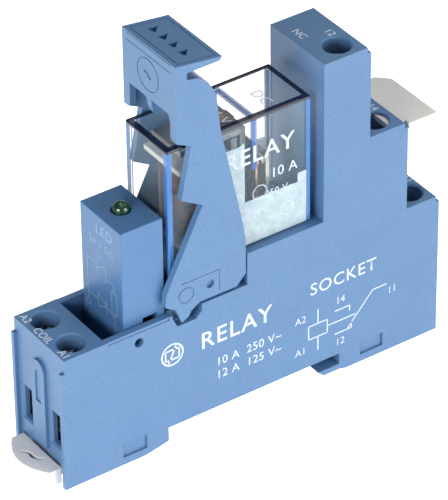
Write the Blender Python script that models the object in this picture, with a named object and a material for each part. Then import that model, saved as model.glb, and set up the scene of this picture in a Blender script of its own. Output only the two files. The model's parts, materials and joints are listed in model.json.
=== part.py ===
"""A plug-in relay in its rail socket, with an indicator module and a release lever.

Every named size is in millimetres. Places are worked out on the bench, where x runs along the
socket from the coil end, y runs across it from the middle plane and z runs up from the feet.
The model's own origin is the middle of the rail seat, and place() makes that move.
"""

import math

import bmesh
import bpy
from mathutils import Matrix, Vector

MM = 0.001

# ---------------------------------------------------------------- socket body
WIDTH = 15.5
SIDE_WALL = 1.3
GAP = 0.3
SLOT_PLAY = 0.35
FLOOR = 1.3
END_WALL = 1.1
FLANGE = 0.7
FLANGE_WIDTH = 0.85
FLANGE_DROP = 1.1

COIL_BLOCK = 9.1
FINGER_GAP = 4.5
MODULE_LENGTH = 8.3
MODULE_TO_RELAY = 1.1
RELAY_LENGTH = 29.2
RELAY_TO_TOWER = 1.5
LEDGE_LENGTH = 14.4
NC_LENGTH = 9.0
NO_LENGTH = 8.1
COM_LENGTH = 7.8

RAIL_FACE = 3.8
WALL_TOP = 27.0
CORE_RISE = 6.4
NC_RISE = 31.9
NO_TOP = 47.0
COM_TOP = 28.9

RAIL_SLOT_START = 21.1
RAIL_SLOT = 36.2
RAIL_LIP = 4.6
LIP_THICK = 1.1
FLANGE_ROOM = 2.3

# ---------------------------------------------------------------- terminals
ACCESS_HOLE = 5.0
HEAD = 4.3
HEAD_THICK = 1.8
HEAD_DROP = 2.7
SHANK = 2.5
SHANK_LENGTH = 8.4
SHANK_PLAY = 0.3
SHOULDER = 2.9
CAGE_LENGTH = 4.6
CAGE_WIDTH = 4.4
CAGE_WALL = 0.8
CAGE_OPENING = 3.6
BUSBAR = 0.8
BUSBAR_WIDTH = 2.0
WIRE_HOLE_WIDTH = 2.9
COIL_WIRE_HOLE = 6.9
CONTACT_WIRE_HOLE = 4.7
COIL_SCREW_IN = 4.5
NC_SCREW_IN = 5.3
NO_SCREW_IN = 4.3
COM_SCREW_IN = 3.9

# ---------------------------------------------------------------- plug contacts
PIN_THICK = 0.6
PIN_WIDTH = 1.6
PIN_LENGTH = 5.5
LEAF = 0.4
COIL_PIN_IN = 2.8
COM_PIN_IN = 17.2
NO_PIN_IN = 21.5
NC_PIN_IN = 26.5
RUN_SPACING = 6.0
MODULE_PIN_LENGTH = 3.3

# ---------------------------------------------------------------- module
MODULE_HEIGHT = 28.5
MODULE_SEAT = 17.6
MODULE_SHELL = 1.0
LED_RADIUS = 1.55
BOARD = 1.0

# ---------------------------------------------------------------- relay
RELAY_HEIGHT = 25.3
COVER_WALL = 0.6
BASE_THICK = 1.9
COIL_MIDDLE_IN = 8.2
WINDING_HEIGHT = 14.0
BOBBIN_FLANGE = 1.0
CORE_RADIUS = 1.9
BOBBIN_WALL = 0.8
YOKE = 1.2
AIR_GAP = 0.9
ARMATURE = 1.1
BLADE = 0.4
FIXED_CONTACT = 0.7
CONTACT_TRAVEL = 0.3
RIVET = 0.5
RIVET_RADIUS = 1.2

# ---------------------------------------------------------------- lever, clip and tag
PIVOT_IN = 2.3
PIVOT_RISE = 3.1
PIVOT_RADIUS = 1.2
PIVOT_LENGTH = 1.1
PIVOT_PLAY = 0.3
TOE_IN = 3.9
TOE_LENGTH = 2.9
TOE_THICK = 1.9
LEVER_WEB = 1.3
HOOK_CLEARANCE = 1.3
HOOK_THICK = 1.4
HOOK_SPACING = 6.4
ARCH_LEG = 1.8
ARCH_HEIGHT = 4.6
LEVER_GRIP = 13.9
CLIP_THICK = 2.2
CLIP_REACH = 3.0
CLIP_HEAD = 4.4
CLIP_RELIEF = 0.3
WINDOW_LENGTH = 4.9
WINDOW_HEIGHT = 2.8
CLIP_WINDOW_IN = 11.8
FOOT_WINDOW_IN = 61.8
WINDOW_RISE = 1.5
RECESS_DEPTH = 0.4
GROOVE_DEPTH = 0.6
TAB_REACH = 0.3
TAG_LENGTH = 6.8
TAG_THICK = 1.2
TAG_TONGUE = 2.2
TAG_DROP = 0.5

ROUND = 20

# ---------------------------------------------------------------- places that follow from them
HALF = WIDTH / 2
INNER = HALF - SIDE_WALL
CORE_HALF = INNER - GAP
RELAY_HALF = INNER - SLOT_PLAY
MODULE_START = COIL_BLOCK + FINGER_GAP
MODULE_END = MODULE_START + MODULE_LENGTH
RELAY_START = MODULE_END + MODULE_TO_RELAY
RELAY_END = RELAY_START + RELAY_LENGTH
NC_START = RELAY_END + RELAY_TO_TOWER
NO_START = NC_START + NC_LENGTH
COM_START = NO_START + NO_LENGTH
LENGTH = COM_START + COM_LENGTH
LEDGE_START = RELAY_END - LEDGE_LENGTH
SEAT = WALL_TOP + CORE_RISE
NC_TOP = SEAT + NC_RISE
RAIL_SLOT_END = RAIL_SLOT_START + RAIL_SLOT
RAIL_MIDDLE = (RAIL_SLOT_START + RAIL_SLOT_END) / 2

TERMINAL_Y = INNER - GAP - CAGE_WIDTH / 2
CONTACT_Y = -TERMINAL_Y
CHAMBER_HALF = CAGE_WIDTH / 2 + GAP
RELAY_BOTTOM = SEAT + GAP
RELAY_TOP = RELAY_BOTTOM + RELAY_HEIGHT
PIVOT_X = RELAY_START + PIVOT_IN
PIVOT_Z = WALL_TOP + PIVOT_RISE
COVER_PLATE_TOP = RAIL_FACE + FLOOR
CAVITY_START = MODULE_END + 2 * SIDE_WALL
CAVITY_END = RELAY_END
WIDE_CAVITY_TOP = WALL_TOP - 3.6
NC_RUN = WIDE_CAVITY_TOP - 1.5
NO_RUN = NC_RUN - RUN_SPACING
COM_RUN = NO_RUN - RUN_SPACING
NARROW_HALF = CORE_HALF - PIVOT_LENGTH - PIVOT_PLAY - 0.2
SEAT_FLOOR = 1.5
VOID_LENGTH = 5.3
PIN_Y = NARROW_HALF - GAP - BUSBAR_WIDTH / 2

COIL_PIN_X = RELAY_START + COIL_PIN_IN
COM_PIN_X = RELAY_START + COM_PIN_IN
NO_PIN_X = RELAY_START + NO_PIN_IN
NC_PIN_X = RELAY_START + NC_PIN_IN
MODULE_PIN_X = MODULE_START + MODULE_LENGTH / 2

# Each terminal: bench x of its screw, y of its screw, and the top of the block it sits in.
TERMINALS = {
    "a1": (COIL_SCREW_IN, -TERMINAL_Y, WALL_TOP),
    "a2": (COIL_SCREW_IN, TERMINAL_Y, WALL_TOP),
    "12": (NC_START + NC_SCREW_IN, CONTACT_Y, NC_TOP),
    "14": (NO_START + NO_SCREW_IN, CONTACT_Y, NO_TOP),
    "11": (COM_START + COM_SCREW_IN, CONTACT_Y, COM_TOP),
}


# ---------------------------------------------------------------- tools
def place(x, y, z):
    """A bench point as a point of the model, in metres."""
    return Vector(((x - RAIL_MIDDLE) * MM, y * MM, (z - RAIL_FACE) * MM))


def clear_scene():
    for obj in list(bpy.data.objects):
        bpy.data.objects.remove(obj, do_unlink=True)


def paint(obj, colour, roughness=0.45, metallic=0.0):
    """Gives a piece its own Principled material."""
    material = bpy.data.materials.new(obj.name)
    material.use_nodes = True
    shader = material.node_tree.nodes["Principled BSDF"]
    shader.inputs["Base Color"].default_value = (*colour, 1.0)
    shader.inputs["Roughness"].default_value = roughness
    shader.inputs["Metallic"].default_value = metallic
    obj.data.materials.clear()
    obj.data.materials.append(material)
    return obj


def add_mesh(name, mesh_builder):
    mesh = bpy.data.meshes.new(name)
    bmesh.ops.recalc_face_normals(mesh_builder, faces=mesh_builder.faces)
    mesh_builder.to_mesh(mesh)
    mesh_builder.free()
    obj = bpy.data.objects.new(name, mesh)
    bpy.context.scene.collection.objects.link(obj)
    return obj


def prism(name, corners, offset):
    """Extrudes a flat outline of model points by an offset vector."""
    builder = bmesh.new()
    first = [builder.verts.new(corner) for corner in corners]
    last = [builder.verts.new(corner + offset) for corner in corners]
    builder.faces.new(first)
    builder.faces.new(reversed(last))
    for i in range(len(first)):
        j = (i + 1) % len(first)
        builder.faces.new((first[i], first[j], last[j], last[i]))
    return add_mesh(name, builder)


def side_prism(name, outline, y0, y1):
    """A side outline of (x, z) points, extruded across the width."""
    return prism(name, [place(x, y0, z) for x, z in outline], Vector((0, (y1 - y0) * MM, 0)))


def plan_prism(name, outline, z0, z1):
    """A plan outline of (x, y) points, extruded upwards."""
    return prism(name, [place(x, y, z0) for x, y in outline], Vector((0, 0, (z1 - z0) * MM)))


def box(name, x0, x1, y0, y1, z0, z1):
    return side_prism(name, [(x0, z0), (x1, z0), (x1, z1), (x0, z1)], y0, y1)


def circle(radius, count=ROUND):
    steps = [2 * math.pi * i / count for i in range(count)]
    return [(radius * math.cos(a), radius * math.sin(a)) for a in steps]


def post(name, x, y, z0, z1, radius, count=ROUND):
    """An upright round bar."""
    return plan_prism(name, [(x + u, y + v) for u, v in circle(radius, count)], z0, z1)


def pin_across(name, x, z, y0, y1, radius, count=ROUND):
    """A round bar across the width."""
    return side_prism(name, [(x + u, z + v) for u, v in circle(radius, count)], y0, y1)


def boolean(obj, other, operation):
    modifier = obj.modifiers.new(operation.lower(), "BOOLEAN")
    modifier.object = other
    modifier.operation = operation
    modifier.solver = "EXACT"
    bpy.context.view_layer.update()
    graph = bpy.context.evaluated_depsgraph_get()
    mesh = bpy.data.meshes.new_from_object(obj.evaluated_get(graph))
    obj.modifiers.clear()
    obj.data = mesh
    bpy.data.objects.remove(other, do_unlink=True)


def cut(obj, *cutters):
    for cutter in cutters:
        boolean(obj, cutter, "DIFFERENCE")
    return obj


def fuse(obj, *others):
    for other in others:
        boolean(obj, other, "UNION")
    return obj


def set_origin(obj, x, y, z):
    """Moves a piece's origin to a bench point without moving the piece."""
    origin = place(x, y, z)
    obj.data.transform(Matrix.Translation(-origin))
    obj.location = origin
    return obj


def span(side, inner, outer):
    """The y range between two distances from the middle, on one side."""
    return sorted((side * inner, side * outer))


# ---------------------------------------------------------------- socket body
BLUE = (0.16, 0.33, 0.62)
WHITE = (0.86, 0.86, 0.84)
STEEL = (0.62, 0.62, 0.63)
TINNED = (0.70, 0.68, 0.63)
COPPER = (0.35, 0.17, 0.09)
BLACK = (0.03, 0.03, 0.035)


def busbar_top(key):
    """The height of the top of the bar that a terminal clamps its wire to."""
    top = TERMINALS[key][2]
    return top - HEAD_DROP - HEAD_THICK - SHANK_LENGTH - GAP


def riser_x(key):
    """Where a contact terminal's busbar turns down, between the cage and the wall."""
    return TERMINALS[key][0] - CAGE_LENGTH / 2 - GAP - BUSBAR


def body_outline():
    """The side view of the socket, counter-clockwise from the coil end's foot."""
    end = FLANGE
    lip_start = RAIL_SLOT_END - RAIL_LIP
    lip_top = RAIL_FACE - FLANGE_ROOM
    return [
        (end, 0),
        (RAIL_SLOT_START - 5.0, 0),
        (RAIL_SLOT_START, 1.0),
        (RAIL_SLOT_START, RAIL_FACE),
        (RAIL_SLOT_END, RAIL_FACE),
        (RAIL_SLOT_END, lip_top),
        (lip_start, lip_top),
        (lip_start + 1.2, lip_top - LIP_THICK),
        (RAIL_SLOT_END, lip_top - LIP_THICK),
        (RAIL_SLOT_END + 1.4, 0),
        (LENGTH - FLANGE, 0),
        (LENGTH - FLANGE, COM_TOP),
        (COM_START, COM_TOP),
        (COM_START, NO_TOP),
        (NO_START, NO_TOP),
        (NO_START, NC_TOP),
        (NC_START, NC_TOP),
        (NC_START, SEAT),
        (LEDGE_START, SEAT),
        (LEDGE_START, WALL_TOP),
        (end, WALL_TOP),
    ]


def end_flange(name, x0, x1, z0, z1, side):
    y0, y1 = span(side, HALF - FLANGE_WIDTH, HALF)
    return box(name, x0, x1, y0, y1, z0, z1)


def tower_flange(x, z0, tower_top, side):
    return end_flange("flange", x - 0.5, x + FLANGE, z0, tower_top - FLANGE_DROP, side)


def chamber_cutters(key, wire_hole, end_side):
    """The room of one screw terminal: screw hole, shank hole, cage room and wire hole."""
    x, y, top = TERMINALS[key]
    roof = top - HEAD_DROP - HEAD_THICK - GAP - SHOULDER
    busbar_bottom = busbar_top(key) - BUSBAR
    floor = busbar_bottom - CAGE_OPENING - CAGE_WALL - 1.0
    near = x - CAGE_LENGTH / 2 - GAP
    far = x + CAGE_LENGTH / 2 + GAP
    if end_side < 0:
        floor = RAIL_FACE
    else:
        near -= BUSBAR + 2 * GAP
    if key == "11":
        floor = COM_RUN - 2
    hole_top = busbar_bottom + 0.9
    hole_y = y + math.copysign(0.4, y)
    wire_x = (-1, x) if end_side < 0 else (x, far + END_WALL + 2)
    return [
        post("hole", x, y, top - HEAD_DROP - HEAD_THICK - GAP, top + 1, ACCESS_HOLE / 2, 24),
        post("shank", x, y, roof - 0.5, top - HEAD_DROP, SHANK / 2 + SHANK_PLAY, 16),
        box("room", near, far, y - CHAMBER_HALF, y + CHAMBER_HALF, floor, roof),
        box(
            "wire", *wire_x, hole_y - WIRE_HOLE_WIDTH / 2, hole_y + WIRE_HOLE_WIDTH / 2,
            hole_top - wire_hole, hole_top,
        ),
    ]


def socket_housing():
    body = side_prism("socket_housing", body_outline(), -HALF, HALF)
    core = box("core", CAVITY_START - GAP, LEDGE_START + 1, -CORE_HALF, CORE_HALF, WALL_TOP - 1, SEAT)
    fuse(body, core)
    for side in (-1, 1):
        fuse(
            body,
            end_flange("coil_flange", 0, FLANGE + 0.5, 0, WALL_TOP - 2.7, side),
            tower_flange(NO_START, NO_TOP - 0.5, NC_TOP, side),
            tower_flange(COM_START, COM_TOP - 0.5, NO_TOP, side),
            tower_flange(LENGTH - FLANGE, 0, COM_TOP, side),
        )
    fuse(body, coil_end_rib())
    cut(
        body,
        box("clip_way", -1, RAIL_SLOT_START + 1, -INNER, INNER, -1, RAIL_FACE + 0.01),
        box("under", FLANGE + END_WALL, CAVITY_END, -INNER, INNER, RAIL_FACE - 1, COVER_PLATE_TOP + GAP),
        box("pocket", COIL_BLOCK, MODULE_END + GAP, -INNER, INNER, MODULE_SEAT, WALL_TOP + 1),
        box("wide", CAVITY_START, CAVITY_END, -INNER, INNER, RAIL_FACE, WIDE_CAVITY_TOP),
        box("narrow", CAVITY_START, CAVITY_END, -NARROW_HALF, NARROW_HALF, RAIL_FACE, SEAT - SEAT_FLOOR),
        box("foot", RAIL_SLOT_END + 2.2, LENGTH - FLANGE - 0.9, -INNER, INNER, -1, COM_RUN - 1.3),
    )
    for key in ("a1", "a2"):
        cut(body, *chamber_cutters(key, COIL_WIRE_HOLE, -1))
    for key in ("12", "14", "11"):
        cut(body, *chamber_cutters(key, CONTACT_WIRE_HOLE, 1))
    cut(body, *busbar_ways())
    cut(body, *far_voids())
    for side in (-1, 1):
        cut(body, *side_cutters(side))
    near_hole = pin_across("hole", MODULE_START + 2.0, WALL_TOP - 2.6, -HALF - 1, -INNER + 0.1, 0.9, 16)
    cut(body, near_hole)
    slot_z = NO_TOP - TAG_DROP - TAG_THICK
    cut(body, box("tag_slot", COM_START - TAG_TONGUE - GAP, COM_START + 2, -HALF + 1.1, HALF - 1.1,
                  slot_z - GAP, slot_z + TAG_THICK + GAP))
    return paint(body, BLUE)


def coil_end_rib():
    """The arch-topped rib between the two wire holes, proud of the end face."""
    half = 2.0
    foot = RAIL_FACE + 1.5
    spring = WALL_TOP - 4.2 - half
    arch = [(half * math.cos(a), spring + half * math.sin(a)) for a in (math.pi * i / 8 for i in range(9))]
    outline = [(-half, foot), (half, foot)] + arch
    corners = [place(FLANGE - 0.6, y, z) for y, z in outline]
    return prism("rib", corners, Vector((1.2 * MM, 0, 0)))


def busbar_ways():
    """Slots in the walls that the busbars lie in."""
    reach = BUSBAR_WIDTH / 2 + GAP
    ways = []
    z = busbar_top("a1") - BUSBAR
    for y in (-TERMINAL_Y, TERMINAL_Y):
        y0, y1 = y - reach, y + reach
        ways.append(box("way", COIL_SCREW_IN, CAVITY_START + 1, y0, y1, z - 0.6, z + BUSBAR + 0.6))
        ways.append(box("way", MODULE_PIN_X - 1.5, MODULE_PIN_X + 1.5, y0, y1, z, MODULE_SEAT + 0.5))
        ways.append(pin_slot(COIL_PIN_X, math.copysign(PIN_Y, y)))
    for x in (COM_PIN_X, NO_PIN_X, NC_PIN_X):
        ways.append(pin_slot(x, -PIN_Y))
    for key, run in (("12", NC_RUN), ("14", NO_RUN), ("11", COM_RUN)):
        riser = riser_x(key)
        low, high = CONTACT_Y - reach, CONTACT_Y + reach
        ways.append(box("way", CAVITY_END - 1, riser + BUSBAR + 0.6, low, high, run - 0.6, run + BUSBAR + 0.6))
        ways.append(box("way", riser - GAP, riser + BUSBAR + 0.6, low, high, run, busbar_top(key)))
    return ways


def pin_slot(x, y):
    """A slot for one relay pin through the floor that the relay stands on."""
    return box("slot", x - 0.9, x + 0.9, y - 1.2, y + 1.2, SEAT - SEAT_FLOOR - 1, SEAT + 1)


def far_voids():
    """Hollows in the far half of the contact towers, open to the foot."""
    voids = []
    y0 = CONTACT_Y + CHAMBER_HALF + SIDE_WALL - 0.1
    y1 = INNER - 0.3
    roof = 3.0
    foot_top = COM_RUN - 1.5
    for start, top in ((NC_START, NC_TOP), (NO_START, NO_TOP), (COM_START, COM_TOP)):
        floor = foot_top if start > NC_START else foot_top - 3
        x0 = start + SIDE_WALL
        voids.append(box("void", x0, x0 + VOID_LENGTH, y0, y1, floor, top - roof))
    voids.append(box("link", NC_START + 3, COM_START + 3, y0, y1, foot_top - 3, foot_top + 6))
    return voids


def side_cutters(side):
    """Lever notch, pivot socket, toe room, side recesses and snap grooves in one side."""
    y0, y1 = span(side, CORE_HALF, HALF + 1)
    notch = [
        (PIVOT_X - 2.9, WALL_TOP + 1),
        (PIVOT_X - 2.9, WALL_TOP - 0.6),
        (PIVOT_X - 1.9, WALL_TOP - 2.6),
        (PIVOT_X + 1.9, WALL_TOP - 2.6),
        (PIVOT_X + 3.1, WALL_TOP - 1.4),
        (PIVOT_X + 3.3, WALL_TOP + 1),
    ]
    depth = PIVOT_LENGTH + PIVOT_PLAY
    p0, p1 = span(side, CORE_HALF - depth, CORE_HALF + 1)
    r0, r1 = span(side, HALF - RECESS_DEPTH, HALF + 1)
    g0, g1 = span(side, INNER - 0.5, INNER + GROOVE_DEPTH)
    t0, t1 = span(side, CORE_HALF - depth, CORE_HALF + 1)
    toe_x = PIVOT_X + TOE_IN
    cutters = [
        side_prism("notch", notch, y0, y1),
        pin_across("pivot", PIVOT_X, PIVOT_Z, p0, p1, PIVOT_RADIUS + PIVOT_PLAY),
        box("toe_room", toe_x - 1.5, toe_x + TOE_LENGTH + 1.4, t0, t1, SEAT - TOE_THICK - 1, SEAT + 1),
    ]
    for x in (CLIP_WINDOW_IN, FOOT_WINDOW_IN):
        x1, z1 = x + WINDOW_LENGTH, WINDOW_RISE + WINDOW_HEIGHT
        cutters.append(box("recess", x, x1, r0, r1, WINDOW_RISE, z1))
        cutters.append(box("groove", x, x1, g0, g1, WINDOW_RISE, z1))
    return cutters


def base_cover():
    """The plate that closes the body from below. Its underside is the rail seat."""
    reach = INNER - GAP
    x0 = FLANGE + END_WALL + GAP
    plate = box("base_cover", x0, CAVITY_END - GAP, -reach, reach, RAIL_FACE, COVER_PLATE_TOP)
    relief_end = RAIL_SLOT_START + CLIP_REACH + 0.5
    cut(plate, box("relief", 0, relief_end, -HALF, HALF, RAIL_FACE - 1, RAIL_FACE + CLIP_RELIEF))
    for x in (CAVITY_START + 1, CAVITY_END - 3):
        fuse(plate, box("wall", x, x + 1.2, 0.5, reach - 0.6, COVER_PLATE_TOP - 0.5, COVER_PLATE_TOP + 5))
    return paint(plate, (0.14, 0.30, 0.57))


def foot_cover():
    """The snap-in plate under the contact towers."""
    reach = INNER - GAP
    x0 = RAIL_SLOT_END + 2.2 + GAP
    x1 = LENGTH - FLANGE - 0.9 - GAP
    plate = box("foot_cover", x0, x1, -reach, reach, 0.4, 1.7)
    for side in (-1, 1):
        p0, p1 = span(side, reach - 1.0, reach)
        t0, t1 = span(side, reach - 0.8, INNER + TAB_REACH)
        start = FOOT_WINDOW_IN + GAP
        tab_z = WINDOW_RISE + GAP
        fuse(
            plate,
            box("post", start, start + 3.4, p0, p1, 1.2, tab_z + 2.0),
            box("tab", start, start + 3.4, t0, t1, tab_z, tab_z + 2.0),
        )
    return paint(plate, (0.14, 0.30, 0.57))


# ---------------------------------------------------------------- terminals and busbars
def leaf_fork(obj, x, y, bottom, top):
    """Adds the two spring leaves that grip a blade pin."""
    inner = PIN_THICK / 2 + GAP
    outer = inner + LEAF
    y0, y1 = y - BUSBAR_WIDTH / 2, y + BUSBAR_WIDTH / 2
    return fuse(
        obj,
        box("base", x - outer, x + outer, y0, y1, bottom, bottom + BUSBAR),
        box("leaf", x - outer, x - inner, y0, y1, bottom + 0.1, top),
        box("leaf", x + inner, x + outer, y0, y1, bottom + 0.1, top),
    )


def relay_riser(bar, x, strip_y, pin_y, bottom):
    """Carries a strip across to the line of the relay's pins, up, and into a fork."""
    half = BUSBAR_WIDTH / 2
    x0, x1 = x - BUSBAR / 2, x + BUSBAR / 2
    low, high = min(strip_y, pin_y) - half, max(strip_y, pin_y) + half
    fork_bottom = SEAT - SEAT_FLOOR - PIN_LENGTH
    fuse(
        bar,
        box("tab", x0, x1, low, high, bottom + 0.05, bottom + BUSBAR + 0.4),
        box("riser", x0 + 0.02, x1 - 0.02, pin_y - half, pin_y + half, bottom + 0.2, fork_bottom + 0.5),
    )
    return leaf_fork(bar, x, pin_y, fork_bottom, SEAT - SEAT_FLOOR - GAP)


def coil_busbar(key):
    x, y, _ = TERMINALS[key]
    y0, y1 = y - BUSBAR_WIDTH / 2, y + BUSBAR_WIDTH / 2
    top = busbar_top(key)
    bar = box(f"coil_busbar_{key}", x - CAGE_LENGTH / 2, COIL_PIN_X + BUSBAR / 2, y0, y1, top - BUSBAR, top)
    leaf_fork(bar, MODULE_PIN_X, y, top - BUSBAR, MODULE_SEAT - GAP)
    relay_riser(bar, COIL_PIN_X, y, math.copysign(PIN_Y, y), top - BUSBAR)
    return paint(bar, TINNED, 0.35, 1.0)


def contact_busbar(key, name, pin_x, run):
    x, y, _ = TERMINALS[key]
    y0, y1 = y - BUSBAR_WIDTH / 2, y + BUSBAR_WIDTH / 2
    top = busbar_top(key)
    riser = riser_x(key)
    bar = box(name, riser, x + CAGE_LENGTH / 2, y0, y1, top - BUSBAR, top)
    fuse(
        bar,
        box("drop", riser, riser + BUSBAR, y0, y1, run, top - 0.1),
        box("run", pin_x - BUSBAR / 2, riser + 0.5, y0, y1, run, run + BUSBAR),
    )
    relay_riser(bar, pin_x, y, -PIN_Y, run)
    return paint(bar, TINNED, 0.35, 1.0)


def clamp_cage(key):
    """The box clamp that the screw lifts against the busbar."""
    x, y, _ = TERMINALS[key]
    inner_bottom = busbar_top(key) - BUSBAR - CAGE_OPENING
    inner_top = busbar_top(key) + GAP + 0.1
    x0, x1 = x - CAGE_LENGTH / 2, x + CAGE_LENGTH / 2
    half = CAGE_WIDTH / 2
    cage = box(f"clamp_{key}", x0, x1, y - half, y + half, inner_bottom - CAGE_WALL, inner_top + CAGE_WALL)
    cut(
        cage,
        box("mouth", x0 - 1, x1 + 1, y - half + CAGE_WALL, y + half - CAGE_WALL, inner_bottom, inner_top),
        post("thread", x, y, inner_top - 0.5, inner_top + 2, SHANK / 2 + 0.2, 16),
    )
    return paint(cage, TINNED, 0.4, 1.0)


def terminal_screw(key):
    x, y, top = TERMINALS[key]
    head_top = top - HEAD_DROP
    head_bottom = head_top - HEAD_THICK
    screw = post(f"screw_{key}", x, y, head_bottom, head_top, HEAD / 2, 24)
    fuse(screw, post("shank", x, y, head_bottom - SHANK_LENGTH, head_bottom + 0.5, SHANK / 2, 16))
    slot = 0.7
    cut(
        screw,
        box("slot", x - HEAD, x + HEAD, y - slot / 2, y + slot / 2, head_top - 0.9, head_top + 1),
        box("slot", x - slot / 2, x + slot / 2, y - 1.3, y + 1.3, head_top - 1.1, head_top + 1),
    )
    set_origin(screw, x, y, head_bottom)
    return paint(screw, STEEL, 0.3, 1.0)


# ---------------------------------------------------------------- rail clip and marker tag
def rail_clip():
    """The sliding foot that holds the rail: a rounded head, a tongue, a nose and two snap arms."""
    bottom = 0.5
    top = bottom + CLIP_THICK
    half = INNER - 0.5
    sweep = [(-CLIP_HEAD + 2.4 * (i / 6) ** 2, half * i / 6) for i in range(-6, 7)]
    head = plan_prism("rail_clip", sweep[::-1] + [(0.4, -half), (0.4, half)], 0.25, RAIL_FACE - GAP)
    tongue_half = half - 1.6
    tip = RAIL_SLOT_START + CLIP_REACH
    nose = [(-0.5, bottom), (tip - 1.4, bottom), (tip, bottom + 1.2)]
    nose += [(tip, top - 0.1), (tip - 0.6, top), (-0.5, top)]
    fuse(head, side_prism("tongue", nose, -tongue_half, tongue_half))
    tab_x = CLIP_WINDOW_IN + WINDOW_LENGTH - GAP
    tab_z = WINDOW_RISE + GAP
    for side in (-1, 1):
        a0, a1 = span(side, tongue_half - 0.4, half)
        t0, t1 = span(side, half - 0.3, INNER + TAB_REACH)
        fuse(
            head,
            box("arm", tab_x - 4.0, tab_x, a0, a1, bottom, top),
            box("tab", tab_x - 1.6, tab_x, t0, t1, tab_z, top - 0.1),
        )
    cut(head, box("window", 4.0, 9.5, -2.4, 2.4, -1, RAIL_FACE), s_slot())
    return paint(head, WHITE, 0.45)


def s_slot():
    """The screwdriver slot in the top of the clip's head, bent like a lazy S."""
    points = 9
    line = [(-3.0 + 2.4 * i / (points - 1), 2.1 - 4.2 * i / (points - 1)) for i in range(points)]
    wave = [0.45 * math.sin(2 * math.pi * i / (points - 1)) for i in range(points)]
    upper = [(x + 0.35 + w, y) for (x, y), w in zip(line, wave)]
    lower = [(x - 0.35 + w, y) for (x, y), w in zip(line, wave)]
    return plan_prism("s_slot", upper + lower[::-1], RAIL_FACE - 1.6, RAIL_FACE + 1)


def marker_tag():
    """The clip-on marker plate that hangs over the common terminal."""
    reach = HALF - 0.15
    tongue = HALF - 1.1 - GAP
    z = NO_TOP - TAG_DROP - TAG_THICK
    x0 = COM_START + FLANGE + GAP
    x1 = x0 + TAG_LENGTH - FLANGE
    plate = [(x0, -reach), (x1, -reach), (x1, reach - 2.2), (x1 - 2.2, reach), (x0, reach)]
    tag = plan_prism("marker_tag", plate, z, z + TAG_THICK)
    fuse(tag, box("tongue", COM_START - TAG_TONGUE, x0 + 0.5, -tongue, tongue, z, z + TAG_THICK))
    return paint(tag, (0.80, 0.78, 0.70), 0.5)


# ---------------------------------------------------------------- release lever
def lever_outline():
    """The side view of a lever plate, clockwise from the top of the front edge."""
    front = RELAY_START + 1.0
    grip_foot = RELAY_TOP + 2.3
    top = grip_foot + LEVER_GRIP + 0.8
    right = LEDGE_START - GAP
    sweep = (0.4, 0.8, 1.2, 1.5)
    scoop = [(front + 2.2 + 5.9 * math.sin(a), top - 3.2 - 6.8 * (1 - math.cos(a))) for a in sweep]
    return [
        (front, top),
        (front + 9.2, top - 1.2),
        (front + 8.7, top - 1.9),
        (front + 2.3, top - 1.9),
        (front + 2.2, top - 3.2),
        *scoop,
        (right - 4.8, RELAY_TOP + 1.6),
        (right - 0.5, SEAT + 6.5),
        (right, SEAT + 3.2),
        (right, WALL_TOP + 2.6),
        (right - 1.9, WALL_TOP + 0.6),
        (PIVOT_X + 2.7, WALL_TOP + 0.6),
        (PIVOT_X + 0.9, WALL_TOP - 0.5),
        (PIVOT_X + 0.5, WALL_TOP - 1.4),
        (PIVOT_X - 1.0, WALL_TOP - 2.2),
        (PIVOT_X - 2.2, WALL_TOP + 0.9),
        (PIVOT_X - 4.2, WALL_TOP + 2.2),
        (PIVOT_X - 4.0, WALL_TOP + 4.7),
        (PIVOT_X - 1.8, SEAT + 2.7),
        (PIVOT_X + 3.6, SEAT + 13.7),
        (PIVOT_X - 0.6, SEAT + 16.2),
        (front + 2.8, grip_foot - 1.6),
        (front, grip_foot - 0.2),
    ]


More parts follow.
